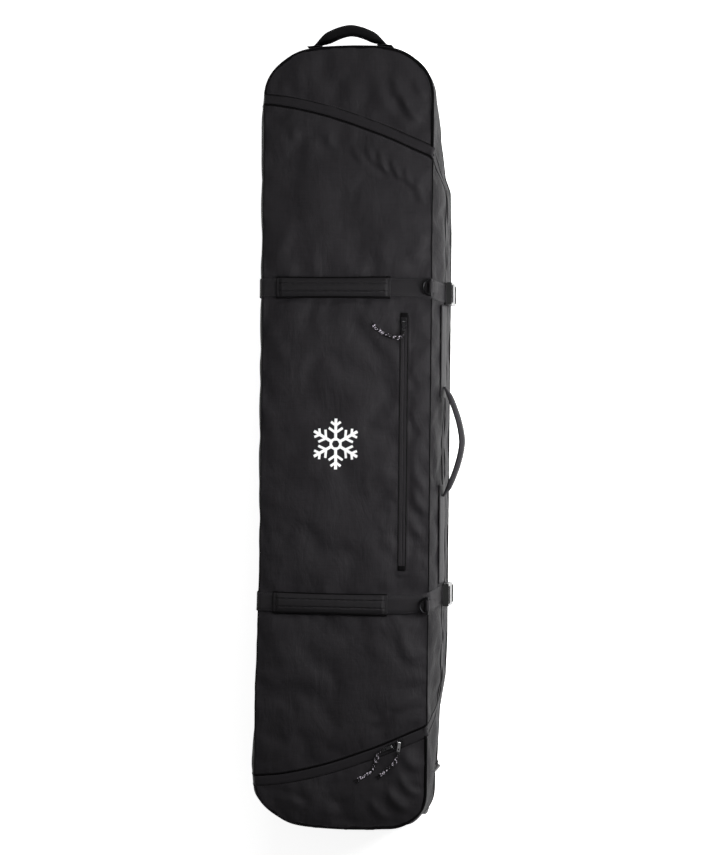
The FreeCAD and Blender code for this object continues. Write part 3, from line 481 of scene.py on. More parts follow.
# ---------------------------------------------------------------- cloth simulation
SHEET_STEP = 6.0
SHEET_C = np.arange(-348.0, 349.0, SHEET_STEP)
SHEET_Y = np.arange(-810.0, 805.0, SHEET_STEP)
SHEET_SCALE = 10
SETTLE_FRAMES = 24
CLOTH_SLACK = 0.9
TALLEST = 4.5
FINE = 3


def held_cloth(c, y):
    """True where the cloth is sewn down: seams, zippers, straps, the pocket's zipper and the side webbing."""
    distance = np.full(c.shape, 1e9)
    for row in range(len(c)):
        gap = (c[row][:, None] - ZIP[None, :, 0])**2 + (y[row][:, None] - ZIP[None, :, 1])**2
        distance[row] = np.sqrt(gap.min(1))
    held = (np.abs(np.abs(c) - SEAM) < 3.1) | (distance < 10) | (np.abs(c) > 344) | (np.abs(y) > 797)
    held |= (np.abs(c) <= SEAM) & (seam_distance(np.clip(c, -SEAM, SEAM), y) < 5)
    held |= (np.abs(c + SEAM + SEAM_Z - FOLD_Z) < 4) & (np.abs(y) < 700)
    held |= (np.abs(c - POCKET_X) < 9) & (np.abs(y - POCKET_MIDDLE) < 262)
    for middle, _ in STRAPS.values():
        held |= (np.abs(y - middle) < 18) & (np.abs(c) < 262)
    for low, high in SIDE_WEB:
        held |= (np.abs(c - SEAM - SEAM_Z + GRIP_LEVEL) < 18) & (y > low) & (y < high)
    return held


def smoothed(field, times):
    """A grid of heights, each mixed with its neighbours."""
    for _ in range(times):
        field = np.pad(field, 1, mode="edge")
        field = (field[:-2] + 2 * field[1:-1] + field[2:]) / 4
        field = (field[:, :-2] + 2 * field[:, 1:-1] + field[:, 2:]) / 4
    return field


def simulate_cloth():
    """Lays the bag's cloth out flat, a little too large for its seams, and lets it settle. Gives its height in mm."""
    c, y = np.meshgrid(SHEET_C, SHEET_Y)
    held = held_cloth(c, y)
    waves = np.random.default_rng(11)
    start = np.zeros(c.shape)
    for _ in range(24):
        turn, length, phase = waves.uniform(0, 6.28), waves.uniform(80, 300), waves.uniform(0, 6.28)
        start += 0.18 * np.sin((c * math.cos(turn) + y * math.sin(turn)) * 2 * math.pi / length + phase)
    start[held] = 0
    # the sheet is laid out larger than life, which the solver handles better
    spots = np.stack([c, y, start], -1).reshape(-1, 3) * SHEET_SCALE
    sheet = mesh_object("settling_cloth", spots, grid_faces(*c.shape))
    group = sheet.vertex_groups.new(name="held")
    group.add(np.where(held.ravel())[0].tolist(), 1.0, "REPLACE")
    modifier = sheet.modifiers.new("settle", "CLOTH")
    cloth = modifier.settings
    cloth.quality, cloth.mass, cloth.air_damping = 5, 0.3, 6.0
    cloth.tension_stiffness = cloth.compression_stiffness = 40
    cloth.shear_stiffness, cloth.bending_stiffness = 12, 12
    cloth.tension_damping = cloth.compression_damping = cloth.shear_damping = 25
    cloth.bending_damping = 2.0
    cloth.vertex_group_mass = "held"
    cloth.shrink_min = cloth.shrink_max = -0.012
    modifier.collision_settings.use_collision = False
    scene = bpy.context.scene
    calm = scene.gravity.copy(), scene.frame_start, scene.frame_end
    scene.gravity = (0, 0, 1.2)
    scene.frame_start, scene.frame_end = 1, SETTLE_FRAMES
    modifier.point_cache.frame_start, modifier.point_cache.frame_end = 1, SETTLE_FRAMES
    for number in range(1, SETTLE_FRAMES + 1):
        scene.frame_set(number)
    settled = sheet.evaluated_get(bpy.context.evaluated_depsgraph_get())
    spots = np.zeros(c.size * 3)
    settled.data.vertices.foreach_get("co", spots)
    bpy.data.objects.remove(sheet)
    scene.frame_set(1)
    scene.gravity, scene.frame_start, scene.frame_end = calm
    height = spots.reshape(*c.shape, 3)[..., 2] / MM / SHEET_SCALE
    height = height - 0.85 * smoothed(height, 60)
    return TALLEST * np.tanh(height * CLOTH_SLACK / TALLEST)


SETTLED = smoothed(np.repeat(np.repeat(simulate_cloth(), FINE, 0), FINE, 1), 5)


def settled_height(c, y):
    """Height of the settled cloth."""
    column = np.clip((c - SHEET_C[0]) / SHEET_STEP * FINE + (FINE - 1) / 2, 0, SETTLED.shape[1] - 1.001)
    row = np.clip((y - SHEET_Y[0]) / SHEET_STEP * FINE + (FINE - 1) / 2, 0, SETTLED.shape[0] - 1.001)
    left, low = column.astype(int), row.astype(int)
    across, up = column - left, row - low
    return ((SETTLED[low, left] * (1 - across) + SETTLED[low, left + 1] * across) * (1 - up)
            + (SETTLED[low + 1, left] * (1 - across) + SETTLED[low + 1, left + 1] * across) * up)


# ---------------------------------------------------------------- materials
class Shader:
    """A material's node tree with short ways to add to it."""

    def __init__(self, name):
        self.material = bpy.data.materials.new(name)
        self.material.use_nodes = True
        self.nodes = self.material.node_tree.nodes
        self.links = self.material.node_tree.links
        self.surface = self.nodes["Principled BSDF"]
        self.place = self.nodes.new("ShaderNodeTexCoord")
        self.bump = None

    def set(self, **values):
        for name, value in values.items():
            self.surface.inputs[name.replace("_", " ")].default_value = value

    def add(self, kind, vector, **values):
        node = self.nodes.new("ShaderNode" + kind)
        for name, value in values.items():
            node.inputs[name].default_value = value
        self.links.new(vector, node.inputs["Vector"])
        return node

    def mapped(self, source="Object", scale=(1, 1, 1), turn=0.0):
        return self.add("Mapping", self.place.outputs[source], Scale=scale, Rotation=(0, 0, turn)).outputs["Vector"]

    def noise(self, vector, scale, detail=3.0, rough=0.5, distortion=0.0):
        return self.add("TexNoise", vector, Scale=scale, Detail=detail, Roughness=rough,
                        Distortion=distortion).outputs["Fac"]

    def wave(self, vector, pitch, direction="X", distortion=0.0):
        node = self.add("TexWave", vector, Scale=WAVE_SCALE / (pitch * MM), Distortion=distortion, Detail=1.0)
        node.bands_direction = direction
        return node.outputs["Fac"]

    def math(self, operation, *values):
        node = self.nodes.new("ShaderNodeMath")
        node.operation = operation
        for index, value in enumerate(values):
            if isinstance(value, (int, float)):
                node.inputs[index].default_value = value
            else:
                self.links.new(value, node.inputs[index])
        return node.outputs[0]

    def mixed(self, *parts):
        """The sum of several sources, each times its share."""
        total = None
        for source, share in parts:
            scaled = self.math("MULTIPLY", source, share)
            total = scaled if total is None else self.math("ADD", total, scaled)
        return total

    def coloured(self, factor, *stops):
        node = self.nodes.new("ShaderNodeValToRGB")
        for element, (position, colour) in zip(node.color_ramp.elements, stops):
            element.position = position
            element.color = (*colour, 1)
        self.links.new(factor, node.inputs["Fac"])
        self.links.new(node.outputs["Color"], self.surface.inputs["Base Color"])

    def roughened(self, source, share, least):
        self.links.new(self.math("MULTIPLY_ADD", source, share, least), self.surface.inputs["Roughness"])

    def bumped(self, height, distance):
        node = self.nodes.new("ShaderNodeBump")
        node.inputs["Strength"].default_value = 1.0
        node.inputs["Distance"].default_value = distance
        self.links.new(height, node.inputs["Height"])
        if self.bump is not None:
            self.links.new(self.bump, node.inputs["Normal"])
        self.bump = node.outputs["Normal"]
        self.links.new(self.bump, self.surface.inputs["Normal"])


def grey(level, tint=(1.0, 0.92, 1.05)):
    return tuple(level * part for part in tint)


def weave(name, colour, roughness=0.62, specular=0.2, pitch=1.3, depth=0.00012, crease=0.0, spread=0.28,
          tint=(1.0, 0.92, 1.05)):
    """Plain woven cloth."""
    shader = Shader(name)
    shader.set(Roughness=roughness, Specular_IOR_Level=specular)
    flat = shader.mapped("UV")
    over = shader.math("MULTIPLY", shader.wave(flat, pitch, "X"), shader.wave(flat, pitch, "Y"))
    streak = shader.noise(shader.mapped("UV", (420, 22, 60)), 1.0, 3.0, 0.6)
    slub = shader.noise(shader.mapped("UV", (18, 380, 60)), 1.0, 2.0, 0.6)
    patch = shader.noise(shader.mapped(), 9.0, 3.0, 0.55)
    tone = shader.mixed((streak, 0.45), (slub, 0.25), (patch, 0.2), (over, 0.1))
    shader.coloured(tone, (0.3, grey(colour * (1 - spread), tint)), (0.75, grey(colour * (1 + spread), tint)))
    shader.roughened(streak, 0.16, roughness - 0.08)
    if crease:
        soft = shader.noise(shader.mapped("Object", (1.6, 0.8, 1.0), 0.35), 14.0, 4.0, 0.58, 0.6)
        shader.bumped(soft, crease)
        fine = shader.noise(shader.mapped("Object", (1.2, 1.0, 1.0), -0.4), 60.0, 3.0, 0.6, 0.4)
        shader.bumped(fine, crease * 0.16)
    shader.bumped(over, depth)
    return shader.material


def ribbed(name, colour, pitch=1.7, roughness=0.55, specular=0.25, depth=0.00022):
    """Webbing: ribs across its length with a fine twill between them. UV x runs across it."""
    shader = Shader(name)
    shader.set(Roughness=roughness, Specular_IOR_Level=specular)
    ribs = shader.wave(shader.mapped("UV"), pitch, "Y", 0.4)
    twill = shader.wave(shader.mapped("UV", turn=0.7), 2.3, "X", 0.3)
    both = shader.mixed((ribs, 0.6), (twill, 0.4))
    tone = shader.mixed((both, 0.5), (shader.noise(shader.mapped(), 45.0, 3.0, 0.6), 0.5))
    shader.coloured(tone, (0.25, grey(colour * 0.72)), (0.8, grey(colour * 1.3)))
    shader.bumped(both, depth)
    return shader.material


def moulded(name, colour, roughness=0.4, specular=0.4, grain=0.00006, scale=900.0, scuff=0.0):
    """Moulded plastic or rubber with a fine spark grain."""
    shader = Shader(name)
    shader.set(Roughness=roughness, Specular_IOR_Level=specular)
    spots = shader.noise(shader.mapped(), scale, 2.0, 0.5)
    cloud = shader.noise(shader.mapped(), 28.0, 4.0, 0.6)
    tone = shader.mixed((spots, 0.35), (cloud, 0.65))
    shader.coloured(tone, (0.3, (colour * 0.85,) * 3), (0.7, (colour * 1.18,) * 3))
    shader.roughened(cloud, 0.22, roughness - 0.1)
    shader.bumped(spots, grain)
    if scuff:
        shader.bumped(shader.noise(shader.mapped("Object", (900, 14, 60), 0.3), 1.0, 2.0, 0.5), scuff)
    return shader.material


def metal(name, colour, roughness=0.3, brushed=(1, 1, 1)):
    """Metal with a fine grain."""
    shader = Shader(name)
    shader.set(Metallic=1.0, Roughness=roughness)
    fine = shader.noise(shader.mapped("Object", brushed), 500.0, 3.0, 0.6)
    cloud = shader.noise(shader.mapped(), 60.0, 3.0, 0.5)
    shader.coloured(shader.mixed((fine, 0.5), (cloud, 0.5)), (0.3, tuple(part * 0.8 for part in colour)),
                    (0.7, tuple(min(1, part * 1.12) for part in colour)))
    shader.roughened(cloud, 0.2, roughness - 0.08)
    shader.bumped(fine, 0.00003)
    return shader.material


def fleck_cord(name):
    """Black cord with white flecks. UV y runs along it."""
    shader = Shader(name)
    shader.set(Roughness=0.7, Specular_IOR_Level=0.2)
    cells = shader.add("TexVoronoi", shader.mapped("UV", (430, 300, 1), 0.5), Scale=1.0)
    fleck = shader.math("GREATER_THAN", shader.math("MULTIPLY", cells.outputs["Color"], 1.0), 0.5)
    soft = shader.math("SUBTRACT", 1.0, shader.math("MULTIPLY", cells.outputs["Distance"], 1.1))
    shader.coloured(shader.math("MULTIPLY", fleck, soft), (0.42, grey(0.004)), (0.58, grey(0.62)))
    shader.bumped(shader.wave(shader.mapped("UV", turn=0.8), 0.9, "Y"), 0.00025)
    return shader.material


CLOTH = weave("shell_cloth", 0.0135, crease=0.003, specular=0.12)
# the walls take a darker copy of the shell cloth: painted shade
SHADED_WALL_CLOTH = weave("shaded_gusset_cloth", 0.0088, crease=0.0040, specular=0.12)
# the lid's left wall takes a darker copy still, with less shine: painted shade, as on a side turned from the light
SHADED_LEFT_WALL_CLOTH = weave("shaded_left_wall_cloth", 0.0042, crease=0.0040, specular=0.08)
BACK_CLOTH = weave("back_cloth", 0.0140, pitch=2.2, depth=0.0003, roughness=0.7, crease=0.002)
LINING = weave("lining_cloth", 0.050, roughness=0.6, pitch=1.0, crease=0.004, spread=0.2, tint=(0.97, 1.0, 1.04))
PAD_CLOTH = weave("floor_pad_cloth", 0.042, roughness=0.66, pitch=1.4, crease=0.002, spread=0.2, tint=(0.97, 1.0, 1.04))
HAUL_CLOTH = weave("haul_cloth", 0.0085, pitch=1.6, depth=0.0002, roughness=0.68, specular=0.16, crease=0.001)
GRIP_CLOTH = ribbed("handle_webbing", 0.014, pitch=1.9, specular=0.10)
GRAB_CLOTH = weave("grab_cloth", 0.0032, pitch=1.8, depth=0.0002, roughness=0.75, specular=0.1, crease=0.001)
WEBBING = ribbed("strap_webbing", 0.0105, specular=0.14)
TAPE = ribbed("zip_tape_cloth", 0.0100, pitch=1.1, roughness=0.6, specular=0.12, depth=0.00012)
# the lid's half of the zip tape is near black beside the fixed half: painted shadow under the flap's edge
SHADED_LID_TAPE = ribbed("shaded_lid_tape_cloth", 0.0020, pitch=1.1, roughness=0.7, specular=0.04, depth=0.00012)
FLAP = weave("flap_cloth", 0.0115, pitch=0.9, roughness=0.6, specular=0.12)
# black binding tape; its very dark tone also stands in as painted shadow along the lid's edge and the haul handles'
# edges
BINDING_AND_SHADE = ribbed("binding_and_shade_tape", 0.0018, pitch=1.2, roughness=0.7, specular=0.05)
PIPING = weave("piping_cloth", 0.0030, pitch=1.1, roughness=0.62, specular=0.08)
COIL = moulded("coil_nylon", 0.012, roughness=0.38)
THREAD = weave("thread", 0.013, pitch=0.5, roughness=0.5, specular=0.3, spread=0.1)
INK = weave("white_print", 0.80, pitch=1.3, roughness=0.55, spread=0.05, tint=(1, 1, 1))
BUCKLE = moulded("buckle_acetal", 0.009, roughness=0.24, specular=0.6, grain=0.00002)
HOUSING = moulded("housing_plastic", 0.014, roughness=0.5, grain=0.00022, scale=520.0, scuff=0.0001)
STIFFENER = moulded("stiffener_sheet", 0.03, roughness=0.5)
RAIL = moulded("rail_plastic", 0.018, roughness=0.42, grain=0.0001, scuff=0.0003)
SLIDER = metal("slider_black_nickel", (0.035, 0.035, 0.037), 0.34)
TAB = metal("tab_nickel", (0.62, 0.62, 0.63), 0.24)
DARK_TAB = metal("tab_black_nickel", (0.09, 0.09, 0.094), 0.26)
RING = metal("ring_black_metal", (0.016, 0.016, 0.017), 0.36)
STEEL = metal("bolt_steel", (0.48, 0.48, 0.49), 0.3, (4, 1, 1))
RIVET = metal("rivet_aluminium", (0.42, 0.42, 0.43), 0.36)
TYRE = moulded("tyre_urethane", 0.012, roughness=0.6, grain=0.00008, scale=700.0, scuff=0.0002)
HUB = moulded("hub_nylon", 0.035, roughness=0.42, grain=0.00004)
CORD = fleck_cord("fleck_cord")


def paint(thing, *materials):
    thing.data.materials.clear()
    for material in materials:
        thing.data.materials.append(material)
    return thing


def finished(thing, material, body, slot, *replaced):
    """The usual ending of a piece: its material, its body and the CAD nodes that it stands for; slot is not used."""
    paint(thing, *(material if isinstance(material, tuple) else (material,)))
    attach(thing, body)
    if replaced:
        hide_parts(*replaced)
    return thing


def thicken(thing, thick, inner=1, rim=0):
    """Gives cloth its padding inwards; the inner side takes the next material slot."""
    modifier = thing.modifiers.new("padding", "SOLIDIFY")
    modifier.thickness = thick * MM
    modifier.offset = -1
    modifier.use_even_offset = True
    modifier.thickness_clamp = 0.8
    modifier.material_offset = inner
    modifier.material_offset_rim = rim
    return thing


# ---------------------------------------------------------------- pull cords
CORDS = {
    "pocket": [(121, 214, 199.8), (121, 206.5, 199.8), (115, 201, 198.6), (105, 199.5, 198.1), (94.5, 202, 198.1),
               (84, 207, 198.1), (74.5, 212, 198.1), (65.5, 217.5, 198.1), (58.5, 225, 198.1)],
    "left": [(87.6, -641.3, 198.3), (79.9, -644.8, 198.2), (75.6, -654.5, 198.1), (72.5, -666, 198.1),
             (69.5, -677, 198.1), (62.5, -686, 198.1), (53.5, -692.5, 198.1), (44.5, -697.5, 198.1),
             (37, -703.5, 198.1)],
    "right": [(118.5, -643.8, 198.3), (117.2, -653.2, 198.2), (113.5, -663.5, 198.1), (107, -672.5, 198.1),
              (98.5, -679.5, 198.1), (90, -685.5, 198.1), (82.5, -692.5, 198.1)],
}


def cord_line(name, route):
    """Points read from the route's own smooth curve."""
    curve = bpy.data.curves.new(name, "CURVE")
    curve.dimensions = "3D"
    curve.resolution_u = 10
    spline = curve.splines.new("NURBS")
    spline.points.add(len(route) - 1)
    for point, place in zip(spline.points, route):
        point.co = (*[part * MM for part in place], 1)
    spline.order_u = 3
    spline.use_endpoint_u = True
    thing = bpy.data.objects.new(name, curve)
    bpy.context.scene.collection.objects.link(thing)
    bpy.context.view_layer.update()
    data = bpy.data.meshes.new_from_object(thing)
    points = np.array([vertex.co[:] for vertex in data.vertices]) / MM
    bpy.data.objects.remove(thing)
    return points


def pull_cord(name, route):
    """A two-strand twisted cord with a knot at its free end."""
    line = cord_line(name + "_route", route)
    fine = resample(line, 0.7)
    run = along(fine)
    tangent = unit(np.gradient(fine, axis=0))
    across = unit(np.cross(tangent, UP))
    out = np.cross(across, tangent)
    strands = []
    for index in range(2):
        phase = run / 11.0 * 2 * math.pi + index * math.pi
        centre = fine + across * (np.cos(phase) * 2.0)[:, None] + out * (np.sin(phase) * 0.6 + 1.3)[:, None]
        strands.append(sweep(f"strand_{index}", centre, out, round_section(2.0)))
    cord = joined(name + "_pull_cord_twist", strands)
    knot = knot_piece(name + "_cord_knot", fine[-1], tangent[-1])
    finished(cord, CORD, name + "_pull", "pull_cord", name + "_pull_cord")
    finished(knot, CORD, name + "_pull", "pull_cord")


def knot_piece(name, place, direction):
    """A small overhand knot with two short tails."""
    turn = np.linspace(0, 2 * math.pi, 64, endpoint=False)
    side = unit(np.cross(direction, UP))
    up = np.cross(side, direction)
    loop = np.stack([np.sin(turn) + 2 * np.sin(2 * turn), np.cos(turn) - 2 * np.cos(2 * turn), -np.sin(3 * turn)], 1)
    spots = (place + direction * 0.5 + loop[:, :1] * direction * 1.0 + loop[:, 1:2] * side * 1.15
             + loop[:, 2:] * up * 0.9)
    parts = [sweep("knot_loop", spots, facing(up, len(spots)), round_section(1.5), closed=True)]
    for bend in (-1, 1):
        t = np.linspace(0, 1, 8)[:, None]
        tail = place + direction * (1 + 8.5 * t) + side * bend * (0.8 + 3.0 * t**1.5) - up * 0.4 * t
        parts.append(sweep("knot_tail", tail, facing(up, 8), round_section(1.4)))
    return joined(name, parts)


for cord_name, cord_route in CORDS.items():
    pull_cord(cord_name, cord_route)


# ---------------------------------------------------------------- fabric shell
TOP_IN, LOW_IN = boundary(-10.0)
TOP_OUT, LOW_OUT = boundary(10.0)


def y_over_c(line, c):
    """y where the boundary passes c; the line's c grows along it."""
    order = np.maximum.accumulate(line[:, 0])
    return np.interp(c, order, line[:, 1])


def c_over_y(line, y):
    """c where the boundary passes y, on the right wall."""
    part = line[line[:, 0] > 40]
    part = part[np.argsort(part[:, 1])]
    return np.interp(y, part[:, 1], part[:, 0])


def lid_shell():
    """Front panel and the lid's two walls, one piece of padded cloth."""
    left, right = -(SEAM + SEAM_Z - FOLD_Z - 1.2), TOP_IN[:, 0].max() - 0.2
    columns = np.concatenate([np.linspace(left, -SEAM, 22)[:-1], np.linspace(-SEAM, SEAM, 92)[:-1],
                              np.linspace(SEAM, right - 30, 14)[:-1],
                              right - 30 + 30 * np.sin(np.linspace(0, 1, 10) * math.pi / 2)])
    rows = 330
    high, low = y_over_c(TOP_IN, columns), y_over_c(LOW_IN, columns)
    share = np.linspace(0, 1, rows)[:, None]
    y = low[None] + (high - low)[None] * share
    c = np.repeat(columns[None], rows, 0)
    thing = grid_object("lid_shell", surface(c, y), np.stack([c, y], -1))
    finished(thing, CLOTH, "lid", "shell_fabric", "lid_panel", "lid_left_wall", "lid_right_wall")
    middle = (c[:-1, :-1] + c[1:, 1:]) / 2
    # the front takes the shell cloth, the right wall a darker copy and the left wall the darkest: painted shade by side
    part = np.where(middle > SEAM, 1, np.where(middle < -SEAM, 2, 0))
    paint(thing, CLOTH, SHADED_WALL_CLOTH, SHADED_LEFT_WALL_CLOTH, LINING, BINDING_AND_SHADE)
    thing.data.polygons.foreach_set("material_index", part.ravel().astype(np.int32))
    thicken(thing, PADDING, 3, 4)


def outline(count=900):
    """The seam's outline, anticlockwise from the right side's lower end: points, outward normals and distances."""
    def corner(cx, cy, radius, start, end):
        turn = np.radians(np.linspace(start, end, 40))
        return np.stack([cx + radius * np.cos(turn), cy + radius * np.sin(turn)], 1)

    top, low = TOP_END - BOW, -LOW_END - BOW
    left_low, right_low = LOW_CORNERS

    def bowed(start, end, reach, sign):
        x = np.linspace(start, end, 60)
        return np.stack([x, sign * (reach - BOW * np.clip(np.abs(x) / 90.0, 0, 1)**2)], 1)

    line = np.concatenate([
        [[SEAM, -(low - right_low)]], corner(SEAM - TOP_CORNER, top - TOP_CORNER, TOP_CORNER, 0, 84),
        bowed(SEAM - TOP_CORNER, -(SEAM - TOP_CORNER), TOP_END, 1),
        corner(-(SEAM - TOP_CORNER), top - TOP_CORNER, TOP_CORNER, 96, 180), [[-SEAM, -(low - left_low)]],
        corner(-(SEAM - left_low), -(low - left_low), left_low, 180, 266),
        bowed(-(SEAM - left_low), SEAM - right_low, -LOW_END, -1),
        corner(SEAM - right_low, -(low - right_low), right_low, 274, 360)])
    line = np.concatenate([line, line[:1]])
    run = along(line)
    at = np.linspace(0, run[-1], count, endpoint=False)
    points = read_at(line, run, at)
    for _ in range(8):
        points = (np.roll(points, 1, 0) + 2 * points + np.roll(points, -1, 0)) / 4
    tangent = unit(np.roll(points, -1, 0) - np.roll(points, 1, 0))
    return points, np.stack([tangent[:, 1], -tangent[:, 0]], 1), at


RING_POINTS, RING_NORMALS, RING_RUN = outline()
# 1 where the wall faces the bag's end, 0 where it faces its side
RING_ENDWARD = np.abs(RING_NORMALS[:, 1])**1.5


def ring_part(sign, beyond=300):
    """The outline's points at the top end (1) or the wheel end (-1), from left to right."""
    chosen = np.where(RING_POINTS[:, 1] * sign > beyond)[0]
    angle = np.arctan2(RING_POINTS[chosen, 1] * sign - 300, RING_POINTS[chosen, 0])
    return chosen[np.argsort(-angle)]


def ring_outward(chosen, share=1.0, up=0.0):
    """The outline's outward normals as directions in space."""
    return np.concatenate([RING_NORMALS[chosen] * share, np.full((len(chosen), 1), up)], 1)


def ring_fullness():
    """Fullness of the wall round the whole outline."""
    x, y = RING_POINTS.T
    return [side * (1 - RING_ENDWARD) + end * RING_ENDWARD
            for side, end in zip(fullness(y, np.sign(x)), (np.where(y > 0, 7.0, 5.0), 4.0))]


RING_FULL, RING_FOOT = ring_fullness()


def wall_points(index, z):
    """Points of the wall at ring positions and heights."""
    x, y = RING_POINTS[index, 0], RING_POINTS[index, 1]
    side, endward, inside = np.sign(x), RING_ENDWARD[index], SEAM_Z - z
    bulge = wall_out(RING_FULL[index], RING_FOOT[index], y, z) - grip_hollow(side, y, z)
    height = puckers(RING_RUN[index], np.abs(inside), 1.1, 18.0)
    sideways = SEAM + SEAM_Z - z
    settled = settled_height(side * sideways, y) * (1 - endward) + settled_height(sideways, 2 * x + 100) * endward
    height += settled * (1 - np.exp(-(z - wall_foot(y)) / 10.0)) * (1 - np.exp(-np.abs(inside) / 6.0))
    out = bulge + height
    return np.stack([spread(x, y) + RING_NORMALS[index, 0] * out, y + RING_NORMALS[index, 1] * out, z], -1)


def wall_top():
    """Height of the shell's wall at each ring position: the seam beyond the zippers, the zip line between them."""
    x, y = RING_POINTS.T
    right = x > 0
    c_top, c_low = c_over_y(TOP_OUT, y), c_over_y(LOW_OUT, y)
    middle = (y > LOW_OUT[:, 1].max() - 1) & (y < TOP_OUT[:, 1].min() + 1)
    limit = np.where(y > -22, c_top, c_low)
    top = np.where(right & (limit > SEAM), SEAM_Z - (limit - SEAM), np.full(len(y), SEAM_Z))
    top = np.where(right & middle, SEAM_Z - (np.maximum(c_top, c_low) - SEAM), top)
    left = (~right) & (y < TOP_OUT[0, 1]) & (y > LOW_OUT[0, 1])
    return np.where(left, FOLD_Z - 1.2, top)


def shell_walls():
    """All the cloth walls that stay with the back: a low ring, and the raised walls beyond the zippers."""
    top = wall_top()
    count = len(RING_POINTS)
    ring = np.arange(count)
    low_rows, high_rows = 14, 16
    shared, foot = np.minimum(top, FOLD_Z - 1.2), wall_foot(RING_POINTS[:, 1])
    levels = [foot + (shared - foot) * row / (low_rows - 1) for row in range(low_rows)]
    levels += [shared + (np.maximum(top, shared) - shared) * row / (high_rows - 1) for row in range(1, high_rows)]
    faces = grid_faces(low_rows, count, closed_columns=True)
    tall = top > FOLD_Z
    for row in range(high_rows - 1):
        for column in range(count):
            beside = (column + 1) % count
            if tall[column] and tall[beside]:
                here = (low_rows - 1 + row) * count
                faces.append((here + column, here + beside, here + count + beside, here + count + column))
    thing = mesh_object("shell_walls", np.concatenate([wall_points(ring, z) for z in levels]), faces,
                        np.concatenate([np.stack([RING_RUN, z], 1) for z in levels]))
    drop_loose(thing)
    finished(thing, (SHADED_WALL_CLOTH, LINING, BINDING_AND_SHADE), "shell", "shell_fabric",
             "right_wall", "left_wall", "top_end_wall", "wheel_end_wall")
    thicken(thing, PADDING, 1, 2)


def drop_loose(thing):
    """Removes points that no face uses."""
    work = bmesh.new()
    work.from_mesh(thing.data)
    bmesh.ops.delete(work, geom=[vertex for vertex in work.verts if not vertex.link_faces], context="VERTS")
    work.to_mesh(thing.data)
    work.free()


def cap_panel(name, top_end, node):
    """Front panel between a zipper arc and the bag's end: a four-sided patch inside the seam."""
    sign = 1 if top_end else -1
    line = TOP_OUT if top_end else LOW_OUT
    arc = line[(line[:, 0] >= -SEAM) & (line[:, 0] <= SEAM)]
    arc = np.concatenate([[[-SEAM, y_over_c(line, -SEAM)]], arc, [[SEAM, y_over_c(line, SEAM)]]])
    rim = RING_POINTS[ring_part(sign)]
    left_corner = int(np.argmin(np.abs(rim[:, 0] + 137) + 1000 * (rim[:, 0] > 0)))
    right_corner = int(np.argmin(np.abs(rim[:, 0] - 137) + 1000 * (rim[:, 0] < 0)))
    start = np.where(rim[:left_corner, 1] * sign > arc[0, 1] * sign)[0][0]
    stop = right_corner + np.where(rim[right_corner:, 1] * sign > arc[-1, 1] * sign)[0][-1]
    left = np.concatenate([[[half_width_at(arc[0, 1], -1) * -1, arc[0, 1]]], rim[start:left_corner + 1]])
    right = np.concatenate([rim[right_corner:stop + 1], [[float(half_width_at(arc[-1, 1], 1)), arc[-1, 1]]]])[::-1]
    end = rim[left_corner:right_corner + 1]
    columns, rows = 96, 56

    def even(points, number):
        run = along(points)
        return read_at(points, run, np.linspace(0, run[-1], number))

    arc, end, left, right = even(arc, columns), even(end, columns), even(left, rows), even(right, rows)
    u, v = np.linspace(0, 1, columns)[None, :, None], np.linspace(0, 1, rows)[:, None, None]
    flat = ((1 - v) * arc[None] + v * end[None] + (1 - u) * left[:, None] + u * right[:, None]
            - (1 - u) * (1 - v) * arc[0] - u * (1 - v) * arc[-1] - (1 - u) * v * end[0] - u * v * end[-1])
    px, py = flat[..., 0], flat[..., 1]
    inside = np.maximum(seam_distance(px, py), 0)
    calm = (1 - np.exp(-inside / 9.0)) * (1 - np.exp(-(zip_distance(px, py) / 14.0)**2))
    z = front_z(px, py) + (1.9 * fold_height(px, py) + 0.5 * slack(px, py)) * calm + settled_height(px, py)
    z = z + 0.5 * puckers(np.arctan2(py - sign * 640, px) * 130, inside, 1.2, 17.0)
    thing = grid_object(name, np.stack([spread(px, py), py, z], -1), flat)
    if sign < 0:
        thing.data.flip_normals()
    finished(thing, (CLOTH, LINING, BINDING_AND_SHADE), "shell", "shell_fabric", node)
    thicken(thing, PADDING, 1, 2)


lid_shell()
shell_walls()
cap_panel("top_cap_panel", True, "top_end_panel")
cap_panel("wheel_cap_panel", False, "wheel_end_panel")


def housing_hem():
    """The walls' cloth turned in over the wheel housing's rim, so that the corner between them is closed."""
    chosen = ring_part(-1, -HOUSING_Y)
    edge = wall_points(chosen, np.full(len(chosen), HOUSING_Z + 0.2)) - ring_outward(chosen) * 11.0
    thing = sweep("housing_hem", edge, facing(UP, len(chosen)), strip_section(24, 0.9))
    finished(thing, SHADED_WALL_CLOTH, "shell", "shell_fabric")


housing_hem()


def ring_foot(inset):
    """The outline of the walls' foot in plan, a distance inside it."""
    return RING_POINTS + RING_NORMALS * (RING_FOOT - inset)[:, None]


def floor_edges(y, inset):
    """The back's edges at y, left and right, a distance inside the walls' foot."""
    foot = ring_foot(inset)
    foot[:, 0] = spread(foot[:, 0], foot[:, 1])
    edges = []
    for side in (-1, 1):
        chosen = foot[(foot[:, 0] * side > 0) & (foot[:, 1] > -720)]
        chosen = chosen[np.argsort(chosen[:, 1])]
        edges.append(np.interp(y, chosen[:, 1], chosen[:, 0]))
    return edges


def floor_grid(inset, low, high, rows, columns):
    """Places over the back between its edges."""
    y = np.linspace(low, high, rows)
    left, right = floor_edges(y, inset)
    share = np.linspace(0, 1, columns)
    x = left[:, None] + (right - left)[:, None] * share[None]
    return x, np.repeat(y[:, None], columns, 1)


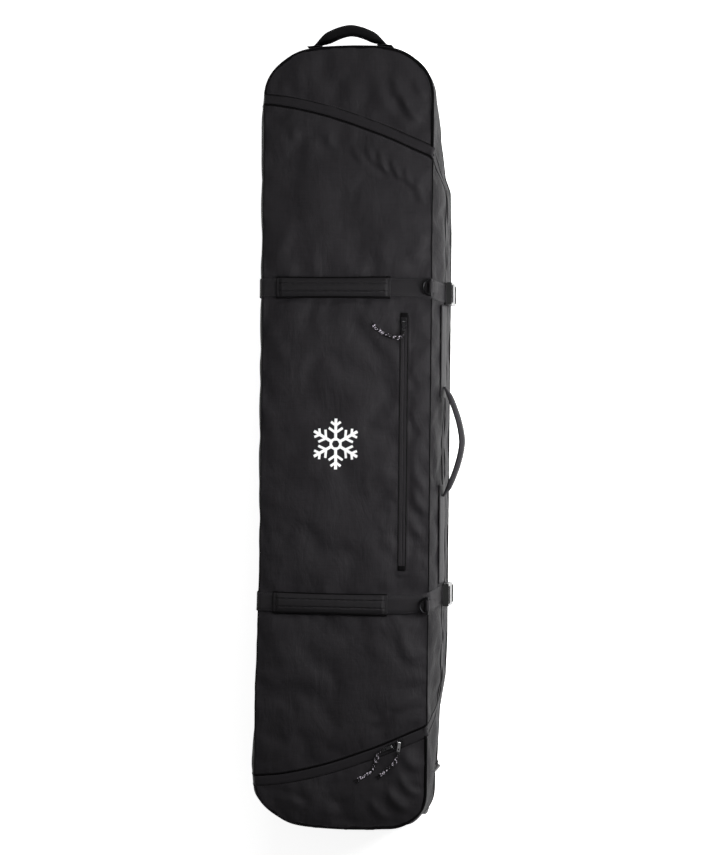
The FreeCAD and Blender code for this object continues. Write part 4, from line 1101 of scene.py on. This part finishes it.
def back_cover():
    """Cloth of the back, slightly full between the three rails."""
    rows, columns = 120, 44
    x, y = floor_grid(1.0, -696, float(ring_foot(1.0)[:, 1].max()) - 0.2, rows, columns)
    gap = np.min(np.abs(x[..., None] - np.array([-118, 0, 118])), -1)
    u, share = np.linspace(-1, 1, columns)[None], np.linspace(0, 1, rows)[:, None]
    puff = 2.4 * blend_step(gap, 13, 40) * (1 - np.abs(u)**8) * (1 - np.abs(2 * share - 1)**10)
    thing = grid_object("back_cover", np.stack([x, y, 6.6 - puff], -1), np.stack([x, y], -1))
    thing.data.flip_normals()
    finished(thing, BACK_CLOTH, "shell", "shell_fabric", "back_panel")


def stiffener():
    """The plastic sheet between the back's cloth and its foam."""
    x, y = floor_grid(7.0, -696, TOP_END - 8, 60, 12)
    thing = grid_object("stiffener_sheet", np.stack([x, y, np.full(x.shape, 10.4)], -1), np.stack([x, y], -1), False)
    finished(thing, STIFFENER, "shell", "stiffener_plastic", "back_stiffener")
    thicken(thing, 2.3, 0)


back_cover()
stiffener()


# ---------------------------------------------------------------- seams and zippers
def on_cloth(line, lift=0.0, cloth=1.0):
    """A (c, y) line as points and normals on the cloth, eased where it turns over a seam."""
    c, y = line.T
    return eased(surface(c, y, lift, cloth), 5), unit(eased(surface_normal(c, y), 5))


def on_zip(name, offset, lift, cloth, section, material, body, slot, *replaced):
    """A strip along the zipper, a distance beside its line."""
    points, normals = on_cloth(line_offset(ZIP, offset), lift, cloth)
    finished(sweep(name, points, normals, section), material, body, slot, *replaced)


def teeth(name, offset, body):
    """The coil sewn under a tape's edge."""
    points, normals = on_cloth(resample(line_offset(ZIP, offset), 1.5), -3.7, 0.6)
    swell = 1.05 + 0.22 * (np.arange(len(points)) % 2)
    section = round_section(1.0, 6)[None] * swell[:, None, None]
    finished(sweep(name, points, normals, section), COIL, body, "zip_coil")


TAPE_INNER, TAPE_OUTER = 0.35, 12.5
TAPE_MIDDLE, TAPE_SECTION = (TAPE_INNER + TAPE_OUTER) / 2, strip_section(TAPE_OUTER - TAPE_INNER, 1.1)
on_zip("fixed_tape", TAPE_MIDDLE, -2.6, 0.6, TAPE_SECTION, TAPE, "shell", "zip_tape", "fixed_zip_tape", "fixed_coil")
on_zip("lid_tape", -TAPE_MIDDLE, -2.6, 0.6, TAPE_SECTION, SHADED_LID_TAPE, "lid", "zip_tape", "lid_zip_tape", "lid_coil")
on_zip("zip_flap", (-8.0 + 11.5) / 2, -1.3, 0.6, strip_section(19.5, 1.0), FLAP, "shell", "zip_tape")
teeth("fixed_teeth", 1.5, "shell")
teeth("lid_teeth", -1.5, "lid")
FLATTENED = np.array([1, 0.75])
# a rolled binding along the lid's edge, thickened and made black as painted shadow of the flap's overhang
on_zip("lid_edge_shadow_binding", -10.6, -0.2, 1.0, round_section(1.8) * FLATTENED, BINDING_AND_SHADE, "lid", "shell_fabric")
on_zip("cap_edge_fold", 10.8, 0.0, 1.0, round_section(1.0) * FLATTENED, PIPING, "shell", "shell_fabric")


def pipe(name, points, normals, body, radius=1.4, closed=False):
    """A corded seam."""
    finished(sweep(name, points, normals, round_section(radius), closed), PIPING, body, "shell_fabric")


def piping():
    """Corded seams round the front and round the walls' foot."""
    for side, name in ((-1, "left"), (1, "right")):
        low, high = float(y_over_c(LOW_IN, side * SEAM)), float(y_over_c(TOP_IN, side * SEAM))
        line = np.stack([np.full(300, side * SEAM), np.linspace(low, high, 300)], 1)
        pipe(f"{name}_seam_piping", *on_cloth(line, 0.3), "lid")
    for name, sign, line in (("top", 1, TOP_OUT), ("wheel", -1, LOW_OUT)):
        chosen = ring_part(sign)
        x, y = RING_POINTS[chosen].T
        chosen = chosen[y * sign >= y_over_c(line, np.copysign(SEAM, x)) * sign]
        points = wall_points(chosen, np.full(len(chosen), SEAM_Z)) + UP * 0.4
        pipe(f"{name}_end_piping", points, unit(ring_outward(chosen, 0.6, 0.8)), "shell")
    ring = np.arange(len(RING_POINTS))
    foot = wall_points(ring, wall_foot(RING_POINTS[:, 1]) + 1.0)
    pipe("back_seam_piping", foot, ring_outward(ring), "shell", 2.1, True)


piping()


def fold_strip():
    """The doubled cloth along the left wall on which the lid folds back."""
    y = np.linspace(float(LOW_OUT[0, 1]) + 4, float(TOP_OUT[0, 1]) - 4, 260)
    rows, uvs = [], []
    for step, out in ((-9, 0.8), (-4, 1.1), (0, 0.6), (4, 1.1), (9, 0.8)):
        z = FOLD_Z + step
        rows.append(surface(np.full(len(y), -(SEAM + SEAM_Z - z)), y, out, 0.3))
        uvs.append(np.stack([np.full(len(y), z), y], 1))
    thing = grid_object("left_fold", np.array(rows), np.array(uvs))
    thing.data.flip_normals()
    thicken(thing, 1.2, 0, 0)
    bpy.context.view_layer.update()
    solid = thing.evaluated_get(bpy.context.evaluated_depsgraph_get())
    data = bpy.data.meshes.new_from_object(solid)
    thing.modifiers.clear()
    thing.data = data
    paint(thing, BINDING_AND_SHADE)
    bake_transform(thing)


fold_strip()


# ---------------------------------------------------------------- stitches
def stitches(name, points, normals, size, body, slot, lift=0.25):
    """A row of short thread stitches along a line; size is their pitch, length and width."""
    pitch, length, width = size
    run, tangent = along(points), unit(np.gradient(points, axis=0))
    corners, faces = [], []
    for start in np.arange(pitch / 2, run[-1] - length, pitch):
        first = len(corners)
        for share, height, wide in ((0, -0.15, 0.45), (0.25, lift, 0.9), (0.75, lift, 0.9), (1, -0.15, 0.45)):
            at = start + length * share
            place, face, ahead = (read_at(field, run, at) for field in (points, normals, tangent))
            face = unit(face)
            side = np.cross(unit(ahead), face)
            corners += [place + side * width * wide / 2 - face * 0.3, place + face * height,
                        place - side * width * wide / 2 - face * 0.3]
        for here in range(first, first + 9, 3):
            faces += [(here, here + 1, here + 4, here + 3), (here + 1, here + 2, here + 5, here + 4)]
    corners = np.array(corners)
    finished(mesh_object(name, corners, faces, corners[:, :2]), THREAD, body, slot)


SEAM_STITCH, STRAP_STITCH = (4.6, 3.3, 0.8), (4.4, 3.1, 0.8)
for row_name, row_offset, row_body in (("lid_zip_stitches", -15.0, "lid"), ("cap_zip_stitches", 14.0, "shell")):
    stitches(row_name, *on_cloth(line_offset(ZIP, row_offset), 0.15), SEAM_STITCH, row_body, "shell_fabric")


# ---------------------------------------------------------------- pocket
def pocket():
    """Zipped pocket opening on the front: tape, two welts, a stop patch at each end and stitching."""
    y = np.linspace(POCKET_LOW, POCKET_HIGH, 260)

    def down(x):
        return np.stack([np.full(len(y), x), y], 1)

    for side, name, *replaced in ((-1, "left", "pocket_zip_tape"), (1, "right")):
        points, normals = on_cloth(down(POCKET_X + side * (0.3 + 7.4) / 2), -0.3)
        thing = sweep(f"pocket_tape_{name}", points, normals, strip_section(7.4 - 0.3, 0.9))
        finished(thing, FLAP, "lid", "zip_tape", *replaced)
    for side, name, radius, beyond in ((-1, "left", 1.0, 4.2), (1, "right", 1.2, 4.6)):
        edge = POCKET_X + side * 7.6
        points, normals = on_cloth(down(edge), 0.5)
        welt = sweep(f"pocket_welt_{name}", points, normals, round_section(radius) * np.array([1.15, 0.75]))
        finished(welt, PIPING, "lid", "shell_fabric")
        stitches(f"pocket_stitches_{name}", *on_cloth(down(edge + side * beyond), 0.15), SEAM_STITCH, "lid",
                 "shell_fabric")
    patches = []
    for start, end in ((POCKET_LOW - 1, POCKET_LOW + 9), (POCKET_HIGH - 4, POCKET_HIGH + 5)):
        points, normals = on_cloth(np.stack([np.full(8, POCKET_X), np.linspace(start, end, 8)], 1), 0.8)
        patches.append(sweep("patch", points, normals, strip_section(15.0, 1.6)))
    finished(joined("pocket_stop_patches", patches), BINDING_AND_SHADE, "lid", "zip_tape", "pocket_zip_stops")


pocket()


# ---------------------------------------------------------------- straps
def strap_y(name, c):
    """The strap's middle at c: it leans towards its buckle on the right."""
    middle, buckle = STRAPS[name]
    return middle + (buckle - middle) * blend_step(c, 120, 225)


def strap(name):
    """Compression strap from the left wall over the front and down to the buckle."""
    c = np.linspace(-(SEAM + SEAM_Z - 114), SEAM + SEAM_Z - 118, 220)
    y = strap_y(name, c)
    inside = np.clip((SEAM - np.abs(c)) / 16.0, -1, 1)
    lift = 0.9 + 1.2 * np.exp(-(inside * 1.6)**2)
    thing = sweep(f"{name}_strap_web", eased(surface(c, y, lift, 0.0), 6), surface_normal(c, y),
                  strip_section(38, 1.5))
    finished(thing, WEBBING, "lid", "webbing", f"{name}_strap")
    c, y, lift = c[12:-40], y[12:-40], lift[12:-40] + 1.65
    for index, offset in enumerate((-16.5, 16.5)):
        stitches(f"{name}_strap_stitches_{index}", surface(c, y + offset, lift, 0.0), surface_normal(c, y + offset),
                 STRAP_STITCH, "lid", "webbing")


def haul_handle(name):
    """Padded sleeve on the strap, sewn flat at both ends, with two long rows of stitches."""
    middle = STRAPS[name][0]
    left, right = -143.0, 92.0
    across = np.linspace(-1, 1, 41)
    rows = 150
    x = np.linspace(left, right, rows)
    t = (x - left) / (right - left)
    end_fade = np.clip(np.minimum(x - left, right - x) / 9.0, 0, 1)
    half = 20.5 - 1.3 * np.sin(np.clip(t, 0, 1) * math.pi)
    puff = 2.2 + 5.6 * blend_step(end_fade, 0.5, 1.0)
    top_points, under_points = [], []
    for index in range(rows):
        y = middle + across * half[index]
        rim = (1 - np.abs(across)**2.6)
        groove = 2.6 * (np.exp(-((np.abs(across) - 0.4) / 0.06)**2)) * blend_step(end_fade[index], 0.4, 0.9)
        cross_row = 1.6 * np.exp(-((min(x[index] - left, right - x[index]) - 7) / 1.6)**2)
        ripple = 0.25 * np.sin(x[index] / 4.4 * 2 * math.pi / 3.1) * np.exp(-((np.abs(across) - 0.4) / 0.2)**2)
        tall = np.maximum(1.0, 1.4 + puff[index] * rim - groove - cross_row * rim + ripple)
        base = surface(np.full(len(y), x[index]), y, 2.3, 0.0)
        hang = math.sin(t[index] * math.pi) * (1.0 + 3.0 * np.clip(-across, 0, 1)**2)
        top_points.append(base + UP * (tall + hang)[:, None])
        under_points.append(base + UP * (hang + 0.1)[:, None])
    count = len(across)
    points = np.concatenate(top_points + under_points)
    faces = grid_faces(rows, count) + [face[::-1] for face in grid_faces(rows, count, first=rows * count)]
    for row in range(rows - 1):
        for column, flip in ((0, False), (count - 1, True)):
            a, b = row * count + column, (row + 1) * count + column
            quad = (a, b, b + rows * count, a + rows * count)
            faces.append(quad[::-1] if flip else quad)
    for row, flip in ((0, True), (rows - 1, False)):
        for column in range(count - 1):
            a = row * count + column
            quad = (a, a + 1, a + 1 + rows * count, a + rows * count)
            faces.append(quad[::-1] if flip else quad)
    uvs = np.stack([np.repeat(x, count), np.tile(across * 20.5, rows)], 1)
    thing = mesh_object(f"{name}_haul_sleeve", points, faces, np.concatenate([uvs, uvs]))
    thing.data.flip_normals()
    finished(thing, HAUL_CLOTH, "lid", "haul_fabric", f"{name}_haul_handle")
    # dark strands along both edges of the sleeve, the lower one thicker: painted shadow under the raised sleeve
    for side, radius in ((-1, 2.6), (1, 1.5)):
        edge = np.array([row[0 if side < 0 else -1] for row in top_points]) + np.array([0, 0.4 * side, -0.4])
        # both edges take the same name, and Blender numbers the second
        finished(sweep(f"{name}_haul_shadow_edge", edge, facing(UP, rows), round_section(radius)), BINDING_AND_SHADE, "lid",
                 "haul_fabric")
        column = int(np.argmin(np.abs(across - 0.4 * side)))
        row_points = np.array([row[column] for row in top_points[6:-6]])
        stitches(f"{name}_haul_stitches_{'low' if side < 0 else 'high'}", row_points, facing(UP, len(row_points)),
                 (4.2, 3.0, 0.9), "lid", "haul_fabric", 0.45)
    for at in (5, rows - 6):
        stitches(f"{name}_haul_end_{at}", top_points[at][2:-2], facing(UP, count - 4), (4.0, 2.8, 0.9), "lid",
                 "haul_fabric", 0.4)


def bent_webbing(name, path, middle, section, body, *replaced):
    """Webbing bent along a path of (x, z) at y = middle."""
    points = np.stack([path[:, 0], np.full(len(path), middle), path[:, 1]], 1)
    normals = np.cross(unit(np.gradient(points, axis=0)), ALONG)
    finished(sweep(name, points, normals, section), WEBBING, body, "webbing", *replaced)


def ring_loop(name):
    """Folded webbing that holds the D-ring's bar and is sewn down at the seam."""
    turn = np.radians(np.linspace(200, -60, 26))
    loop = np.stack([176.0 + 3.9 * np.cos(turn), 201.6 + 3.9 * np.sin(turn)], 1)
    before = [[166.0, 191.6], [169.0, 193.4], [171.4, 196.8]]
    after = [[179.2, 195.4], [181.6, 190.5], [183.4, 185.5], [186.0, 176.5]]
    path = resample(np.concatenate([before, loop, after]), 1.2)
    eased(path[1:-1], 1)
    bent_webbing(f"{name}_ring_tab", path, STRAPS[name][0], strip_section(22, 1.3, -0.6), "lid", f"{name}_ring_loop")


PLUG_PATH = [(195.9, 127.0), (197.5, 121.5), (201.0, 118.4), (206.0, 117.6), (209.4, 117.2), (210.6, 115.6),
             (210.8, 113.4), (209.8, 111.4), (206.0, 110.4), (201.0, 110.0), (197.4, 107.6), (196.0, 103.0)]
ANCHOR_PATH = [(190.5, 9.0), (193.0, 16.0), (194.6, 30.0), (195.6, 46.0), (196.2, 54.0), (198.5, 60.5), (203.0, 63.6),
               (207.5, 63.6), (210.3, 60.8), (209.8, 56.2), (204.0, 53.0), (198.5, 50.0), (197.2, 42.0), (196.8, 30.0)]


def buckle_webbing(name):
    """Webbing round the plug's bars, and the anchor webbing through the socket's slot."""
    middle, section = STRAPS[name][1], strip_section(36, 1.4, -0.7)
    bent_webbing(f"{name}_plug_web", eased(resample(PLUG_PATH, 1.2), 3), middle, section, f"{name}_plug")
    bent_webbing(f"{name}_anchor_web", eased(resample(ANCHOR_PATH, 1.5), 3), middle, section, "shell",
                 f"{name}_anchor_webbing")


for strap_name in STRAPS:
    strap(strap_name)
    haul_handle(strap_name)
    ring_loop(strap_name)
    buckle_webbing(strap_name)


# ---------------------------------------------------------------- handles
def side_handle():
    """Webbing along the right wall, and the grip that bows out of it."""
    strips = []
    c = SEAM + SEAM_Z - GRIP_LEVEL
    for start, end in SIDE_WEB:
        y = np.linspace(start, end, 70)
        points, normals = surface(np.full(70, c), y, 1.4, 0.0), surface_normal(np.full(70, c), y)
        strips.append(sweep("strip", points, normals, strip_section(38, 1.5)))
    finished(joined("side_web", strips), WEBBING, "lid", "webbing", "side_webbing")
    for index, (start, end) in enumerate(((-300.0, -104.0), (84.0, 267.0))):
        for offset, letter in ((-16, "a"), (16, "b")):
            line = np.stack([np.full(70, c + offset), np.linspace(start, end, 70)], 1)
            stitches(f"side_web_stitches_{index}_{letter}", *on_cloth(line, 3.1, 0.0), STRAP_STITCH, "lid", "webbing")
    t = np.linspace(-1, 1, 90)
    y = GRIP_MIDDLE + t * 112
    bow = 195.6 + 35.5 * (1 - np.abs(t)**1.6)
    points = np.stack([bow, y, np.full(90, GRIP_LEVEL)], 1)
    width = 38 - 24 * blend_step(np.abs(t), 0.72, 1.0)
    section = []
    for index in range(90):
        half = width[index] / 2
        thick = 9.0 - 5.0 * blend_step(abs(t[index]), 0.80, 1.0)
        curl = 1.4 * (1 - abs(t[index])**3)
        section.append([(-half, -curl * 0.5), (-half, thick * 0.5 - curl), (-half * 0.8, thick * 0.9),
                        (0, thick + 0.4), (half * 0.8, thick * 0.9), (half, thick * 0.5 - curl),
                        (half, -curl * 0.5), (half * 0.7, 0), (0, 0.3), (-half * 0.7, 0)])
    normals = facing((1, 0, 0), 90)
    thing = sweep("side_grip_web", points, normals, np.array(section))
    finished(thing, GRIP_CLOTH, "side_grip", "handle_fabric", "side_handle")
    for offset, letter in ((-14.5, "a"), (14.5, "b")):
        inner = points[8:-8] + np.array([8.6, 0, offset])
        stitches(f"side_grip_stitches_{letter}", inner, normals[8:-8], (4.6, 3.2, 0.9), "side_grip",
                 "handle_fabric", 0.4)


GRAB = (-4.0, 150.0)


def grab_handle():
    """Padded arch at the top end, and the two tabs it is sewn to."""
    t = np.linspace(-1, 1, 110)
    x = GRAB[0] + t * 78
    y = 802.5 + 34.5 * (1 - np.abs(t)**1.65)
    points = np.stack([x, y, np.full(110, GRAB[1])], 1)
    section = []
    for index in range(110):
        fat = 1 - blend_step(abs(t[index]), 0.55, 1.0)
        half_high, half_thick = 6.5 + 10.5 * fat, 2.8 + 8.2 * fat
        turn = np.linspace(0, 2 * math.pi, 16, endpoint=False)
        section.append(np.stack([half_high * np.sign(np.cos(turn)) * np.abs(np.cos(turn))**0.6,
                                 half_thick * np.sign(np.sin(turn)) * np.abs(np.sin(turn))**0.75], 1))
    thing = sweep("grab_grip_pad", points, facing(ALONG, 110), section)
    finished(thing, GRAB_CLOTH, "grab_grip", "haul_fabric", "grab_handle")
    tangent = unit(np.gradient(points, axis=0))
    out = unit(np.cross(UP, tangent) * -1)
    seam = points + out * (3.6 + 7.2 * (1 - blend_step(np.abs(t), 0.55, 1.0)))[:, None]
    stitches("grab_grip_stitches", seam[6:-6], out[6:-6], (4.4, 3.1, 0.9), "grab_grip", "haul_fabric", 0.5)
    tabs = []
    for side in (-1, 1):
        x = np.linspace(side * 88, side * 58, 20)
        reach = TOP_END + 5.2 - 1.6 * blend_step(np.abs(x), 60, 90)
        spots = np.stack([x + GRAB[0], reach, np.full(20, GRAB[1])], 1)
        tabs.append(sweep("tab", spots, facing(ALONG, 20), strip_section(34, 1.6)))
    finished(joined("grab_tabs_web", tabs), WEBBING, "shell", "webbing", "grab_handle_tabs")


side_handle()
grab_handle()


# ---------------------------------------------------------------- inside
def quilted(name, x, y, base, top, cell, body, slot, node, face_up, fill):
    """A quilted foam pad: pillows between sewn channels, thin at its edge."""
    rows, columns = x.shape
    low, high = y.min(), y.max()
    cross = (np.abs(np.sin(x / cell[0] * math.pi))**0.55
             * np.abs(np.sin((y - (low + high) / 2) / cell[1] * math.pi))**0.55)
    edge = np.minimum(np.minimum(x - x[:, :1], x[:, -1:] - x), np.minimum(y - low, high - y))
    rim = np.sqrt(np.clip(edge / 9.0, 0, 1))
    tall = base + (top - base) * (0.45 + 0.55 * cross) * rim
    upper = np.stack([x, y, tall], -1).reshape(-1, 3)
    lower = np.stack([x, y, np.full_like(x, base)], -1).reshape(-1, 3)
    faces = grid_faces(rows, columns) + [face[::-1] for face in grid_faces(rows, columns, first=rows * columns)]
    points = np.concatenate([upper, lower])
    thing = mesh_object(name, points, faces, points[:, :2])
    if not face_up:
        thing.data.flip_normals()
    finished(thing, PAD_CLOTH, body, slot, node)


quilted("floor_pad", *floor_grid(12.0, -692, TOP_END - 16, 294, 70), 10.6, 20.0, (89, 92), "shell", "foam",
        "back_foam", True, 0.7)
quilted("lid_pad", *np.meshgrid(np.linspace(-166, 166, 66), np.linspace(-556, 516, 214)), 183.5, 177.0, (83, 90), "lid",
        "foam", "lid_foam", False, 0.6)


def pocket_pouch():
    """Flat lining pouch of the front pocket, bound at its edge."""
    left, right, low, high = -58, 160, -292, 264
    x, y = np.meshgrid(np.linspace(left, right, 40), np.linspace(low, high, 90))
    edge = np.minimum(np.minimum(x - left, right - x), np.minimum(y - low, high - y))
    z = 176.4 - 1.9 * np.sqrt(np.clip(edge / 40, 0, 1)) - 0.5 * slack(x, y) * np.clip(edge / 40, 0, 1)
    thing = grid_object("pocket_pouch", np.stack([x, y, z], -1), np.stack([x, y], -1))
    thing.data.flip_normals()
    finished(thing, LINING, "lid", "lining", "pocket_liner")
    rim = resample([(left, low), (right, low), (right, high), (left, high), (left, low)], 6)
    points = np.concatenate([rim, np.full((len(rim), 1), 176.0)], 1)
    trim = sweep("pocket_pouch_binding", points, facing(-UP, len(points)), strip_section(9, 1.0, 0.2))
    finished(trim, BINDING_AND_SHADE, "lid", "lining")


def board_straps():
    """Two straps across the floor that hold the board."""
    strips = []
    for middle in (-260.0, 260.0):
        x = np.linspace(-150, 150, 80)
        z = 20.3 + 0.9 * np.sin(x / 300 * math.pi + 1.57)**2
        points = np.stack([x, np.full(80, middle), z], 1)
        strips.append(sweep("tie", points, facing(UP, 80), strip_section(25, 1.3)))
    finished(joined("board_tie_straps", strips), WEBBING, "shell", "webbing", "board_straps")


pocket_pouch()
board_straps()


# ---------------------------------------------------------------- printed mark
def printed_mark():
    """A plain six-armed snow crystal printed on the front."""
    centre = np.array([-18.0, -18.0])

    def ray(turn):
        return np.array([math.cos(turn), math.sin(turn)])

    bars = []
    for arm in range(6):
        turn = math.radians(60 * arm + 30)
        ahead = ray(turn)
        bars.append((ahead * 7, ahead * 52, 6.0))
        for at, size in ((24, 17), (39, 12)):
            for bend in (-1, 1):
                bars.append((ahead * (at - 1), ahead * at + ray(turn + bend * math.radians(58)) * size, 5.0))
        bars.append((ahead * 11.5, ray(math.radians(60 * (arm + 1) + 30)) * 11.5, 5.0))
    places, faces = [], []
    for start, end, width in bars:
        ahead = unit(end - start)
        side = np.array([-ahead[1], ahead[0]]) * width / 2
        steps = max(2, int(np.linalg.norm(end - start) / 3) + 1)
        faces += grid_faces(steps, 4, first=len(places))
        places += [centre + (start + (end - start) * t) + side * offset
                   for t in np.linspace(0, 1, steps) for offset in (-1, -0.33, 0.33, 1)]
    flat = np.array(places)
    thing = mesh_object("snow_crystal_print", surface(flat[:, 0], flat[:, 1], 0.35), faces, flat)
    finished(thing, INK, "lid", "shell_fabric")


printed_mark()


# ---------------------------------------------------------------- hardware kept from the CAD
KEPT = {
    BUCKLE: ["top_buckle_socket", "top_buckle_plug", "low_buckle_socket", "low_buckle_plug", "cam_buckles"],
    HOUSING: ["wheel_housing"], RAIL: ["skid_rails"], RIVET: ["rail_rivets"],
    SLIDER: ["pocket_slider", "left_slider", "right_slider"], TAB: ["right_pull_tab"],
    DARK_TAB: ["pocket_pull_tab", "left_pull_tab"],
    RING: ["top_d_ring", "low_d_ring"], STEEL: ["axle_bolt_left", "axle_bolt_right", "bearings_left", "bearings_right"],
    TYRE: ["tyre_left", "tyre_right"], HUB: ["hub_left", "hub_right"],
}
for kept_material, kept_nodes in KEPT.items():
    for kept in kept_nodes:
        paint(nodes[kept], kept_material)


# ---------------------------------------------------------------- light and floor
def make_set():
    far = 30000
    floor = mesh_object("floor", [(-far, -far, 0), (far, -far, 0), (far, far, 0), (-far, far, 0)], [(0, 1, 2, 3)],
                        smooth=False)
    shader = Shader("pale_floor")
    shader.set(Roughness=0.9, Specular_IOR_Level=0.0, Emission_Color=(1, 1, 1, 1), Emission_Strength=0.78)
    shader.coloured(shader.noise(shader.mapped(), 3.0), (0.0, (0.93, 0.93, 0.93)), (1.0, (0.95, 0.95, 0.95)))
    paint(floor, shader.material)
    world = bpy.data.worlds.new("studio")
    world.use_nodes = True
    background = world.node_tree.nodes["Background"].inputs
    background["Color"].default_value = (1, 1, 1, 1)
    background["Strength"].default_value = 0.20
    bpy.context.scene.world = world
    for name, place, aim, size, power in (("key", (1.05, 0.08, 0.95), (0.0, 0.15, 0.15), (0.4, 1.5), 36),
                                          ("top", (0.2, 2.4, 1.6), (0, 0.2, 0.1), (1.4, 0.9), 24),
                                          ("fill", (-2.8, -0.6, 2.4), (0, 0, 0.1), (2.0, 2.6), 3)):
        data = bpy.data.lights.new(name, "AREA")
        data.shape = "RECTANGLE"
        data.size, data.size_y = size
        data.energy = power
        lamp = bpy.data.objects.new(name, data)
        bpy.context.scene.collection.objects.link(lamp)
        back = (Vector(place) - Vector(aim)).normalized()
        lamp.matrix_world = Matrix.Translation(Vector(place)) @ back.to_track_quat("Z", "Y").to_matrix().to_4x4()
    bpy.context.scene.view_settings.view_transform = "Standard"
    bpy.context.scene.view_settings.look = "None"


make_set()
